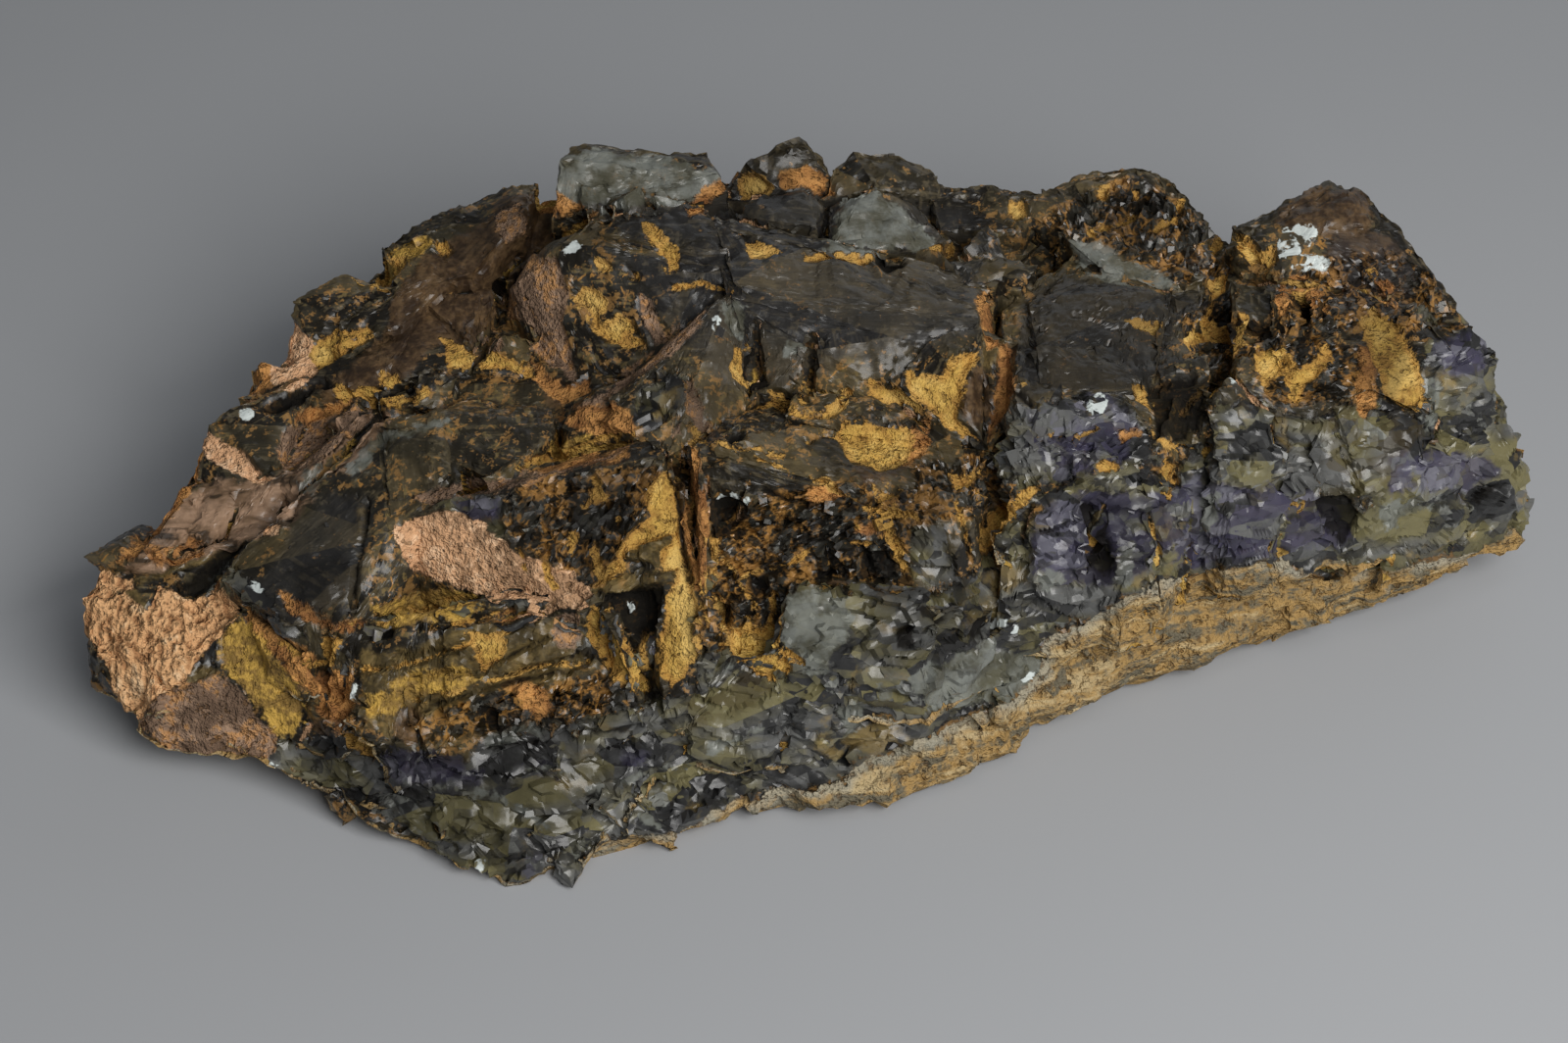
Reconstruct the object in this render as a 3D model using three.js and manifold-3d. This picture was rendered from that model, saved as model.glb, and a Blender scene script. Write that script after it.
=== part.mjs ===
// A rough hand specimen of blue john, the banded purple fluorite of a limestone vein.
// One piece of rock: a slab of coarse broken fluorite on a thin skin of ochre limestone, whose top is
// a crust of large intergrown cubic crystals in steps. Everything grew together, so it is one solid.
// Millimetres. +X runs along the slab, +Y to its back, +Z up. The origin is on the table, under the middle.

import * as THREE from "three";
import { ConvexGeometry } from "three/addons/geometries/ConvexGeometry.js";
import { mergeVertices } from "three/addons/utils/BufferGeometryUtils.js";
import Module from "manifold-3d";

// Driving dimensions
const HEART = [2, 10]; // middle of the slab in plan
const CORE_HEIGHT = 34; // the massive fluorite under the middle of the crystal crust
const BED_SHARE = 0.4; // how far out from the middle the bed of the crust is level, as a share of the way
const BED_RISE = 0.8; // how much of the core's height it has there
const BED_ROUGHNESS = 1.2; // how far it strays up and down
const REST_SHARE = 0.8; // the flat it rests on, as a share of the slab's foot outline
const ROOT = 14; // the height in the massive fluorite that a crystal block reaches down to
const ROOT_CLEARANCE = 1; // a root corner stays this far under its top corner
const ROOT_TAPER = 1.04; // a block is this much wider at its root
const TERRACE_DEPTH = 4; // how deep a growth step is rooted, and how far below the top its corners lie
const SIDE_STEPS = 2; // facets of the broken side between two stations
const SIDE_ROUGHNESS = 1.4; // how far a facet corner of the broken side strays outward
const SIDE_HEIGHT_ROUGHNESS = 0.8; // and how far up and down
const OUTWARD_LEAN = [0.55, 1.6]; // the slab is long: most of its side faces the front or the back
const SMALLEST_BIT = 0.8; // broken bits run from this share of their row's size
const LARGEST_BIT = 1.3; // to this one
const BIT_FLATNESS = 0.75; // the thickness of a broken bit over its width
const CORNER_KNOCK = 0.5; // how much of a corner's reach can be broken off it
const CRUMB_STRAY = [1.5, 2, 0.5]; // how far a bit lies from its row
const CRUMB_TURN = [0.6, 0.5, 0.35]; // how the bits of the crust are turned, in radians
const CRUMB_TURN_SPREAD = [0.3, 0.3, 0.5];
const STUD_SINK = 0.34; // how deep the middle of a bit sits in the side, as a share of its size
const STUD_STRAY = 0.09; // how far it lies from its band, as a share of the side's height
const STUD_REACH = [0.08, 0.97]; // the lowest and highest shares of the side that bits reach
const STUD_CLEARANCE = 0.3; // how far above the table its middle stays, as a share of its size
const STUD_TURN_SPREAD = [0.8, 0.8, 1.5];
const TABLE_BLOCK = [400, 400, 60]; // what is cut away under the table's surface
const WELD = 1e-3; // corners nearer than this are one
const SEED = 20117;

// The side of the slab, anticlockwise from its left tip: where it leaves the table, and its upper rim.
const SIDE = [
  { foot: [-84, -10, 9], rim: [-88, -5, 19] },
  { foot: [-80, -16, 7], rim: [-84, -14, 15] },
  { foot: [-72, -20, 4.5], rim: [-75, -17, 14] },
  { foot: [-62, -24, 3.5], rim: [-64, -20, 13] },
  { foot: [-52, -31, 2], rim: [-54, -26, 14] },
  { foot: [-44, -36, 0.5], rim: [-45, -28, 14] },
  { foot: [-36, -38, 0], rim: [-36, -27, 14] },
  { foot: [-27, -35.5, 0], rim: [-28, -26, 15] },
  { foot: [-18, -32, 0], rim: [-19, -23, 17] },
  { foot: [-8, -28, 1], rim: [-9, -22, 17] },
  { foot: [2, -27.5, 1], rim: [2, -21, 19] },
  { foot: [14, -25, 1], rim: [14, -19, 20] },
  { foot: [24, -19, 1], rim: [24, -13, 22] },
  { foot: [31, -12, 1], rim: [33, -8, 24] },
  { foot: [45, -5, 1.5], rim: [44, 0, 32] },
  { foot: [60, 2, 2], rim: [58, 4, 30] },
  { foot: [74, 7, 3], rim: [71, 8, 28] },
  { foot: [86, 12, 5], rim: [82, 14, 26] },
  { foot: [92, 20, 9], rim: [88, 21, 22] },
  { foot: [90, 28, 9], rim: [87, 29, 28] },
  { foot: [84, 38, 6], rim: [80, 39, 34] },
  { foot: [72, 46, 4], rim: [69, 46, 36] },
  { foot: [58, 44, 3], rim: [58, 42, 34] },
  { foot: [44, 49, 2], rim: [44, 47, 38] },
  { foot: [28, 48, 1], rim: [28, 46, 38] },
  { foot: [12, 50, 1], rim: [11, 47, 40] },
  { foot: [-4, 51, 1], rim: [-4, 48, 42] },
  { foot: [-20, 50, 1], rim: [-20, 47, 41] },
  { foot: [-34, 50, 2], rim: [-34, 50, 36] },
  { foot: [-48, 46, 3], rim: [-48, 47, 33] },
  { foot: [-60, 38, 4], rim: [-60, 39, 29] },
  { foot: [-68, 30, 5], rim: [-67, 32, 26] },
  { foot: [-74, 18, 6], rim: [-75, 18, 24] },
  { foot: [-80, 5, 8], rim: [-81, 4, 20] },
];

// Heights up the side as shares of it, and how far the side stands out there:
// the ochre skin makes a lip at the bottom, and the banded fluorite over it is set back.
const SIDE_PROFILE = [
  { share: 0, out: -1.5 },
  { share: 0.1, out: 0.8 },
  { share: 0.24, out: 1.2 },
  { share: 0.34, out: -0.4 },
  { share: 0.55, out: 0.6 },
  { share: 0.78, out: 0.8 },
  { share: 1, out: 0 },
];

// The crystal blocks of the top. Each is the convex body of its visible corners and its root. A block
// with a terrace carries a low growth step: its top again, drawn in toward a point and raised.
const BLOCKS = [
  // The high middle: two broad dark tables and the ridge that runs down from them to the left.
  {
    name: "pink-sided table",
    corners: [
      [-31, 30, 45], [-27.5, 34.5, 46], [-13, 36, 46], [-8, 24, 45.5], [-14, 24, 45],
      [-38, 30, 38], [-39, 34, 37], [-33, 20, 30], [-24, 17, 34], [-18, 16, 35],
    ],
    terrace: { toward: [-14, 33], share: 0.72, rise: 1 },
  },
  {
    name: "middle table",
    corners: [
      [-10, 19, 45.5], [-13, 35, 45.5], [3.5, 31, 45], [16, 25, 43], [24, 26, 42],
      [-6, 15, 43.5], [1, 12, 42.5], [10, 14, 42.5], [21, 17, 42.5], [-6, 10, 37], [1, 9.5, 37], [9, 9.5, 36.5],
      [20, 6, 34],
    ],
    terrace: { toward: [-8, 24], share: 0.7, rise: 0.9 },
  },
  {
    name: "table corner",
    corners: [[9, 16, 42.5], [22, 19, 43.2], [24, 24, 42.5], [13, 24, 43.4], [12, 10, 38], [21, 9, 37], [22, 5, 33]],
  },
  {
    name: "sloping ridge",
    corners: [
      [-10, 20, 45.5], [-25, 4, 37.5], [-28, 8, 35], [-17, -3, 38], [-8, 6, 37], [-5, 12, 38], [-14, 19, 42],
    ],
  },
  {
    name: "ridge foot",
    corners: [[-30, 9, 36], [-21, 13, 38.5], [-14, 13, 40.5], [-22, 4, 37.5], [-31, 4, 33], [-27, 14, 33]],
  },
  {
    name: "pink fin",
    corners: [[-22.5, 26, 42.5], [-20.5, 26, 42.5], [-18, 20, 38.5], [-19.5, 17.5, 36], [-22, 22, 36]],
  },
  // The step in front of them, with a steep speckled front, and the grey lump under it.
  {
    name: "front shelf",
    corners: [
      [-15, -4, 40], [-12, -8, 37], [10, -11, 36.5], [20, -11, 35.5], [22, 2, 34.5], [10, 8, 36], [-4, 9, 36.5],
      [-10, 4, 38], [-13, -14, 26], [-3, -14, 25], [13, -17, 25], [20, -15, 24],
    ],
    terrace: { toward: [-2, -1], share: 0.78, rise: 0.8 },
  },
  {
    name: "clay ramp",
    corners: [[10, 9, 40], [15, 13.5, 42], [21.5, 16, 42.6], [21.5, 3, 35.3], [17, 4, 36.2], [13, 7, 38], [18, 9, 41]],
  },
  {
    name: "clay wall",
    corners: [[21, 16, 42.5], [26, 14, 41.5], [25.5, 6, 38], [22, 2, 34], [21, 8, 37]],
  },
  {
    name: "shelf back step",
    corners: [[-2, 9, 39], [12, 6.5, 37.5], [15, 2, 36.5], [4, 2.5, 37.6], [-3, 4, 38.6]],
  },
  {
    name: "orange fin",
    corners: [[-14.5, -4.5, 41.5], [-13, -5.5, 41.5], [-12, -14.5, 36], [-12, -22.5, 28.5], [-13.2, -18, 33], [-13.5, -12, 34]],
  },
  {
    name: "grey lump",
    corners: [
      [-2, -16, 30], [5, -17.5, 30], [11, -17.5, 30.5], [14, -19.5, 30], [16, -21.5, 27], [14, -24, 22],
      [6, -24, 22.5], [4, -22, 26], [-3, -22.5, 20], [-5, -21, 23], [16, -18, 23],
    ],
  },
  {
    name: "green grey plate",
    corners: [[-14, -23, 17], [-9, -21.5, 21.5], [-3, -21.5, 24], [-3.5, -25.5, 15], [-9, -27, 12.5], [-15, -26, 13]],
    root: 8,
  },
  {
    name: "grey lump side",
    corners: [[11, -18, 29], [18, -19, 27.5], [22, -17, 25], [20, -20, 20], [12, -23, 21], [9, -21, 27]],
  },
  // The big crystal left of the middle, with its clay-covered left face.
  {
    name: "clay-faced crystal",
    corners: [
      [-50, -7, 31], [-40.5, -8.5, 36], [-17, -6.5, 42], [-18, -2, 40], [-30, 1, 35], [-46, -11, 26],
      [-34, -15, 30], [-27, -19, 26], [-19.5, -21.5, 20], [-17, -14, 28],
    ],
  },
  {
    name: "clay tongue",
    corners: [[-17, -6, 38.5], [-15.2, -7, 37.5], [-12.5, -20, 29], [-13, -23.5, 24.5], [-17.5, -25, 20], [-20, -15, 32.5], [-19, -9, 36.5]],
  },
  {
    name: "clay spike",
    corners: [[-25, -19.5, 28.5], [-23, -20.5, 28.5], [-20, -24.5, 21.5], [-20.5, -25.5, 19], [-23, -24, 22]],
  },
  {
    name: "thin blade",
    corners: [[-28, -19, 27.5], [-20, -15.5, 31], [-15.5, -13, 32.5], [-18, -12, 31], [-27, -17, 25.5]],
  },
  // The left half: broad sloping faces that step down to the tip.
  {
    name: "left slope",
    corners: [
      [-54, 9.5, 33], [-64, 0, 28], [-73, -8, 23], [-63, -17.5, 23.5], [-57, -20, 22], [-52, -14, 27],
      [-51, -9, 31], [-42, -3, 33.5], [-44, 6.5, 34],
    ],
    terrace: { toward: [-50, 3], share: 0.8, rise: 0.7 },
  },
  {
    name: "left slope back",
    corners: [[-54, 9.5, 33], [-45, 9, 34.5], [-31, 5, 35.5], [-32, 10, 34.5], [-42, 14, 33], [-38, -3, 34]],
  },
  {
    name: "left slope foot",
    corners: [[-70, -10, 22.5], [-56, -8, 27.5], [-55, -17, 25.5], [-61, -21, 20.5], [-66, -18, 18]],
  },
  {
    name: "striped front crystal",
    corners: [
      [-57, -16, 22], [-46, -17, 25.5], [-34, -15.5, 27.5], [-26, -16, 26.5], [-21, -22, 20], [-54, -27, 14],
      [-46, -28.5, 14], [-31, -27, 14], [-21.5, -25, 15], [-55.5, -21, 19],
    ],
    terrace: { toward: [-42, -20], share: 0.75, rise: 0.8 },
  },
  {
    name: "striped crystal step",
    corners: [[-44, -19, 24.5], [-33, -18, 26.8], [-27, -20, 25], [-33, -26, 18.5], [-44, -27, 18]],
  },
  {
    name: "left corner crystal",
    corners: [
      [-70, -11.5, 20.5], [-77, -14.5, 15.5], [-83, -18, 9.5], [-80, -20, 6], [-71, -21.5, 5], [-63, -21.5, 8],
      [-62, -19.5, 14], [-65, -14, 18],
    ],
    root: 6,
  },
  {
    name: "clay nose",
    corners: [
      [-87.5, -3.5, 20], [-90, -7, 18.5], [-89, -12, 14], [-84, -17, 9], [-80, -17, 10], [-76, -14, 17],
      [-77, -5, 21], [-82, 1, 22],
    ],
    root: 8,
  },
  // The back left: ridges that run up from the tip to the back.
  {
    name: "tip ridge",
    corners: [[-86, -4, 18], [-84.5, -6, 18], [-78, 2.5, 22], [-71, 2, 23], [-64, 7, 27], [-66, 2, 24], [-79, 8, 24]],
    root: 8,
  },
  {
    name: "small left crystal",
    corners: [[-76, 15, 28.5], [-65, 22.5, 30], [-62, 23, 29], [-67, 8, 26.5], [-66, 14, 28], [-72, 5, 24.5], [-78, 9, 24]],
    root: 8,
  },
  {
    name: "cleft wall",
    corners: [[-63, 4, 28], [-56, 12, 32], [-54, 14, 31], [-60, 12, 28.5], [-66, 6, 26], [-64, 1, 25]],
  },
  {
    name: "back left crystal",
    corners: [[-66, 33.5, 33], [-60, 37, 34.5], [-53, 33, 35.5], [-55, 26, 33], [-62, 23, 29], [-68, 27, 28]],
  },
  {
    name: "back left ridge",
    corners: [[-35, 50, 40], [-40, 50, 39.5], [-49, 45.5, 37.5], [-56, 42, 35.5], [-52, 32, 35], [-43, 33, 38], [-37, 41, 41]],
  },
  {
    name: "brown slope",
    corners: [[-73, 21, 27], [-66, 20, 27.5], [-54, 19, 31], [-42, 22, 33], [-40, 33, 35], [-52, 34, 34], [-64, 30, 29]],
    terrace: { toward: [-46, 28], share: 0.7, rise: 0.9 },
  },
  {
    name: "brown slope ridge",
    corners: [[-60, 29, 33.5], [-46, 38, 37], [-44, 35, 37.5], [-52, 27, 34], [-61, 25, 31.5]],
  },
  {
    name: "small pink crystal",
    corners: [[-39, 23.5, 37], [-37, 25, 35], [-42.5, 21, 32], [-36, 19.5, 32.5], [-34, 24, 34]],
  },
  // The back rim.
  {
    name: "pale back crystal",
    corners: [[-32, 45.5, 46.5], [-30, 49, 46], [-13, 48, 46], [-11.5, 43.5, 46], [-33, 41, 42], [-16, 41, 42], [-10, 43, 43.5]],
  },
  {
    name: "back knob",
    corners: [[-4, 46.5, 48], [-1, 48, 48], [2, 47.5, 45.5], [-9, 45.5, 45], [-11, 44.5, 42], [-5, 43.5, 42.5], [4, 45.5, 42.5]],
  },
  {
    name: "back right crystal",
    corners: [[3.5, 46, 45], [6, 48, 46], [12, 49, 45], [16.5, 47.5, 43], [17.5, 45, 41], [9, 42, 44.5], [2, 43, 42]],
  },
  {
    name: "pale kite",
    corners: [[8, 41.5, 45.3], [12, 40.5, 43.8], [18, 36.5, 40.5], [14, 33.5, 41], [2, 33, 42], [3, 40, 43], [14, 43, 41]],
  },
  {
    name: "low back step",
    corners: [[-7, 40, 44.6], [-1, 40.5, 45.2], [2, 39, 44], [1.5, 34, 44.6], [-5, 34, 45.6], [-9, 37, 44]],
  },
  {
    name: "back shoulder",
    corners: [[16, 47, 41.5], [24, 46, 42.2], [31, 45, 41.8], [28, 38, 41], [17, 39, 40]],
  },
  // The right half: a broad rough plateau, its back crystals and the lobes of its end.
  {
    name: "right plateau",
    corners: [
      [24, 21, 41.5], [25, 8, 41.5], [25, -2.5, 40], [40, -4, 38.5], [45, 0, 39.5], [50, 26, 40.5], [34, 33, 41],
      [30, -9, 33], [24, -7, 34],
    ],
    terrace: { toward: [36, 22], share: 0.7, rise: 0.9 },
  },
  {
    name: "plateau block",
    corners: [[17.5, 30, 42.6], [23, 30.5, 43], [29, 28, 43], [27, 23.5, 42.6], [20, 24.5, 42.8], [17.5, 27, 40]],
  },
  {
    name: "plateau edge cube",
    corners: [[25, 6, 42.3], [31, 6.5, 42], [32, -1, 40.6], [26, -3, 40.8], [27, -5, 37], [33, -4, 37]],
  },
  {
    name: "pale lens",
    corners: [[32, 35, 43], [36, 36.5, 43], [50, 27, 41.8], [46, 25, 41.2], [37, 28.5, 42.4], [40, 32, 43.4]],
  },
  {
    name: "plateau back crystal",
    corners: [[31, 44, 43], [37, 47, 43.8], [43, 47, 44.5], [48, 45.5, 43.5], [52, 39, 41.5], [50, 29, 40.5], [34, 36, 42], [27, 42, 41]],
    terrace: { toward: [42, 43], share: 0.66, rise: 0.8 },
  },
  {
    name: "violet front face",
    corners: [[24, -7, 34], [34, -5, 36], [40, -3, 37], [47, -3, 31], [44, -8, 24], [30, -12, 20], [23, -15, 20]],
  },
  {
    name: "striped violet plate",
    corners: [[37, -5, 34.5], [41, -5, 34], [43, -10, 28], [38.5, -12, 26.5], [34, -9, 31], [36, -6, 26]],
  },
  {
    name: "violet cube",
    corners: [[27, -8, 34.5], [33, -7.5, 34], [33.5, -12, 29], [27.5, -13, 28.5], [26, -10, 33], [30, -13, 24]],
  },
  {
    name: "dark cube",
    corners: [[43, 10, 41.5], [49, 12, 42], [49.5, 8, 40.5], [43, 7, 40.5], [48.5, 1.5, 36], [43.5, 1.5, 36]],
  },
  {
    name: "sparkling cube",
    corners: [[48.5, 5, 40.5], [52, 9, 40.5], [56.5, 5, 38.5], [57.5, 0, 34.5], [50, -1, 35.5], [52, -3, 27], [59, -1, 27]],
  },
  {
    name: "right table",
    corners: [[54, 30, 39], [53, 12, 38.5], [62, 30, 38.5], [78, 29, 36.5], [82, 21, 34.5], [76, 12, 32], [62, 8, 34.5], [56, 9, 36]],
    terrace: { toward: [66, 22], share: 0.62, rise: 0.9 },
  },
  {
    name: "back right peak",
    corners: [
      [55, 40.5, 39.5], [60, 42, 40], [68, 46.5, 42.3], [72, 45, 42.3], [77, 38.5, 40.5], [81, 31, 37.5], [60, 31, 39],
      [66, 37, 41.5],
    ],
    terrace: { toward: [68, 39], share: 0.6, rise: 0.9 },
  },
  {
    name: "right shoulder",
    corners: [[78, 27, 36], [84, 26, 35], [88, 24.5, 32], [88, 19, 28], [80, 14, 29], [77, 16, 33]],
  },
  {
    name: "right lobe",
    corners: [[80, 15, 27], [88, 17.5, 25], [92, 17.5, 20.5], [94, 20, 15], [92, 14, 14], [84, 10, 14], [76, 8, 20], [89, 22, 23]],
    root: 8,
  },
  {
    name: "small right lobe",
    corners: [[77, 9.5, 24.5], [82, 12, 24], [84, 10, 18], [80, 7, 18], [73, 5, 22]],
    root: 8,
  },
  {
    name: "green lump",
    corners: [[64, 9.5, 34.5], [70, 14, 35], [77, 13, 32.5], [77, 7, 27], [69, 2.5, 25], [62.5, 4, 29]],
  },
  {
    name: "ochre front lobe",
    corners: [[60, 3, 30], [70, 7, 27], [72, 6, 21], [64, 2, 19], [56, -1, 23]],
  },
];

// Clefts and pits, cut out as the convex bodies of their corners.
const CLEFTS = [
  { name: "cleft behind the nose", corners: [[-80, -4, 22], [-79, -2, 22], [-71, 4, 25], [-72, -1, 24], [-75, -2, 13]] },
  { name: "slot of the right table", corners: [[62, 31, 42], [64, 31, 42], [61.5, 20, 41], [63.5, 20, 41], [62.8, 26, 31]] },
  { name: "pit of the right table", corners: [[54, 23, 42], [59, 24, 42], [58, 18, 41], [55, 17, 41], [56, 21, 34]] },
  { name: "left notch of the middle table", corners: [[-9, 12, 45], [-5.5, 11, 45], [-7, 17.5, 48], [-7.5, 8, 36], [-6, 14, 37]] },
  { name: "right notch of the middle table", corners: [[-1, 10, 44], [1.5, 10, 44], [0.5, 15.5, 46], [0, 7, 36], [0.5, 13, 37]] },
  { name: "pit behind the middle table", corners: [[9, 31, 47], [14, 32, 47], [15, 28.5, 47], [10, 28, 47], [12, 30, 38]] },
  { name: "red hole of the left front", corners: [[-61, -17, 26], [-58, -17, 27], [-60, -24, 20], [-58, -24, 20], [-59, -19, 12]] },
  { name: "notch of the striped crystal", corners: [[-49, -22, 26], [-47, -30, 20], [-45.5, -22, 27], [-46, -32, 12], [-48, -24, 14]] },
  { name: "black socket of the shelf", corners: [[-12.5, -7, 40], [-7, -7.5, 40], [-9, -13, 37], [-12, -12, 34], [-9, -8, 31]] },
];

// Broken bits of crystal along the steps and ridges of the crust: a line, how many, and their size.
const CRUMB_ROWS = [
  { from: [-30, 34, 43.5], to: [-14, 40, 43], count: 3, size: 5 },
  { from: [-12, 14, 40], to: [-24, 6, 36], count: 3, size: 4.5 },
  { from: [-40, -5, 33], to: [-22, -1, 36], count: 2, size: 4.5 },
  { from: [-60, 15, 27.5], to: [-44, 16, 31], count: 3, size: 6 },
  { from: [-78, 4, 20.5], to: [-69, 13, 24], count: 2, size: 5 },
  { from: [-69, 24, 24], to: [-57, 35, 31], count: 3, size: 6 },
  { from: [-52, 42, 34], to: [-38, 47, 37.5], count: 2, size: 6 },
  { from: [-31, 42, 42.5], to: [-13, 42, 42.5], count: 2, size: 4.5 },
  { from: [4, 36, 41.5], to: [26, 35, 39.5], count: 3, size: 5 },
  { from: [20, 43, 40], to: [30, 38, 39.5], count: 2, size: 5 },
  { from: [26, 12, 39.5], to: [46, 15, 38.5], count: 3, size: 4.5 },
  { from: [34, 30, 39.5], to: [52, 22, 38.5], count: 2, size: 4.5 },
  { from: [24, -8, 30], to: [30, -8, 30], count: 2, size: 5.5 },
  { from: [54, 36, 37.5], to: [78, 34, 36.5], count: 4, size: 5 },
  { from: [66, 24, 35], to: [84, 22, 32], count: 3, size: 5 },
  { from: [58, 8, 33], to: [80, 13, 28], count: 3, size: 5.5 },
  { from: [-56, -24, 15], to: [-24, -25, 14.5], count: 4, size: 5 },
  { from: [-87, -9, 13.5], to: [-78, -16, 9], count: 2, size: 5.5 },
];

// The broken fluorite and the ochre skin are studded with blunt bits in bands along the side: a share
// of the way round, a height as a share of the side, how many, and their size.
const STUD_BANDS = [
  { from: 0.09, to: 0.4, height: 0.44, count: 12, size: 6.5 },
  { from: 0.1, to: 0.42, height: 0.76, count: 12, size: 7 },
  { from: 0.4, to: 0.6, height: 0.62, count: 6, size: 8 },
  { from: 0.6, to: 1.02, height: 0.4, count: 8, size: 9 },
  { from: 0.6, to: 1.02, height: 0.8, count: 8, size: 9 },
  { from: 0.08, to: 0.5, height: 0.14, count: 9, size: 7.5 },
  { from: 0.5, to: 1.06, height: 0.14, count: 6, size: 10 },
];

const random = (() => {
  const [factor, offset, range] = [1664525, 1013904223, 4294967296];
  let state = SEED;
  return () => {
    state = (state * factor + offset) % range;
    return state / range;
  };
})();
const spread = (reach) => (random() * 2 - 1) * reach;
const spreadAll = (reaches) => reaches.map(spread);

const wasm = await Module();
wasm.setup();

// A closed three.js geometry as a manifold-3d solid.
function solidOf(geometry) {
  const bare = geometry.index ? geometry.toNonIndexed() : geometry.clone();
  bare.deleteAttribute("normal");
  bare.deleteAttribute("uv");
  const merged = mergeVertices(bare, WELD);
  return new wasm.Manifold(
    new wasm.Mesh({
      numProp: 3,
      vertProperties: new Float32Array(merged.attributes.position.array),
      triVerts: new Uint32Array(merged.index.array),
    }),
  );
}

// A manifold-3d solid as a three.js geometry.
function geometryOf(solid) {
  const mesh = solid.getMesh();
  const geometry = new THREE.BufferGeometry();
  geometry.setAttribute("position", new THREE.BufferAttribute(new Float32Array(mesh.vertProperties), 3));
  geometry.setIndex(new THREE.BufferAttribute(new Uint32Array(mesh.triVerts), 1));
  return geometry;
}

// The foot or the rim of the side as a closed curve.
function sideCurve(key) {
  const points = SIDE.map((station) => new THREE.Vector3(...station[key]));
  return new THREE.CatmullRomCurve3(points, true, "centripetal");
}
const footCurve = sideCurve("foot");
const rimCurve = sideCurve("rim");

// A point of the side: a share of the way round, and a share of the way from foot to rim.
function sidePoint(round, height) {
  const turn = ((round % 1) + 1) % 1;
  return footCurve.getPoint(turn).lerp(rimCurve.getPoint(turn), height);
}

// The way out of the slab at a point, level.
function outwardAt(point) {
  const [leanX, leanY] = OUTWARD_LEAN;
  return new THREE.Vector3((point.x - HEART[0]) * leanX, (point.y - HEART[1]) * leanY, 0).normalize();
}

// The massive slab: rings up the side, the bed of the crust over them and a flat underneath.
function slab() {
  const around = SIDE.length * SIDE_STEPS;
  const rings = SIDE_PROFILE.map(({ share, out }, level) =>
    Array.from({ length: around }, (_, i) => {
      const point = sidePoint(i / around, share);
      if (level === 0) {
        return point.addScaledVector(outwardAt(point), out);
      }
      point.addScaledVector(outwardAt(point), out + spread(SIDE_ROUGHNESS));
      return point.setZ(Math.max(point.z + spread(SIDE_HEIGHT_ROUGHNESS), 0));
    }),
  );
  const under = new THREE.Vector3(...HEART, 0);
  const over = new THREE.Vector3(...HEART, CORE_HEIGHT);
  const rest = rings[0].map((p) => under.clone().lerp(p, REST_SHARE).setZ(0));
  const bed = rings.at(-1).map((p) => {
    const height = THREE.MathUtils.lerp(p.z, CORE_HEIGHT, BED_RISE) + spread(BED_ROUGHNESS);
    return over.clone().lerp(p, BED_SHARE).setZ(height);
  });
  const levels = [rest, ...rings, bed];
  const vertices = levels.flat();
  const triangles = [];
  for (let level = 0; level + 1 < levels.length; level++) {
    for (let i = 0; i < around; i++) {
      const next = (i + 1) % around;
      const [a, b] = [level * around + i, level * around + next];
      const [c, d] = [a + around, b + around];
      triangles.push(a, b, c, b, d, c);
    }
  }
  const underIndex = vertices.push(under) - 1;
  const overIndex = vertices.push(over) - 1;
  const last = (levels.length - 1) * around;
  for (let i = 0; i < around; i++) {
    const next = (i + 1) % around;
    triangles.push(underIndex, next, i);
    triangles.push(overIndex, last + i, last + next);
  }
  const geometry = new THREE.BufferGeometry().setFromPoints(vertices);
  geometry.setIndex(triangles);
  return solidOf(geometry);
}

// A crystal block: the convex body of its corners and of their root.
function block({ corners, root = ROOT }) {
  const tops = corners.map((corner) => new THREE.Vector3(...corner));
  const middle = tops.reduce((sum, p) => sum.add(p), new THREE.Vector3()).divideScalar(tops.length);
  const roots = tops.map((p) =>
    middle
      .clone()
      .lerp(p, ROOT_TAPER)
      .setZ(Math.min(root, p.z - ROOT_CLEARANCE)),
  );
  return solidOf(new ConvexGeometry([...tops, ...roots]));
}

// The growth step on a block: its high corners drawn in toward a point, and raised.
function terraceOf({ corners, terrace }) {
  const top = Math.max(...corners.map((corner) => corner[2]));
  const step = corners
    .filter((corner) => corner[2] > top - TERRACE_DEPTH)
    .map(([x, y, z]) => new THREE.Vector3(...terrace.toward, z).lerp(new THREE.Vector3(x, y, z), terrace.share));
  const raised = step.map((p) => p.clone().setZ(p.z + terrace.rise));
  const sunk = step.map((p) => p.clone().setZ(p.z - TERRACE_DEPTH));
  return solidOf(new ConvexGeometry([...raised, ...sunk]));
}

// A broken bit: a flattened cube with its corners knocked about, turned and put in place.
function brokenBit(size, at, turn) {
  const corners = [];
  for (const x of [-0.5, 0.5]) {
    for (const y of [-0.5, 0.5]) {
      for (const z of [-0.5, 0.5]) {
        const knock = 1 - CORNER_KNOCK * random();
        corners.push(new THREE.Vector3(x, y, z * BIT_FLATNESS).multiplyScalar(size * knock));
      }
    }
  }
  const angles = new THREE.Euler(...turn);
  return solidOf(new ConvexGeometry(corners.map((corner) => corner.applyEuler(angles).add(at))));
}

// The size of one bit of a row.
function bitSize(size) {
  return size * THREE.MathUtils.lerp(SMALLEST_BIT, LARGEST_BIT, random());
}

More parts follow.
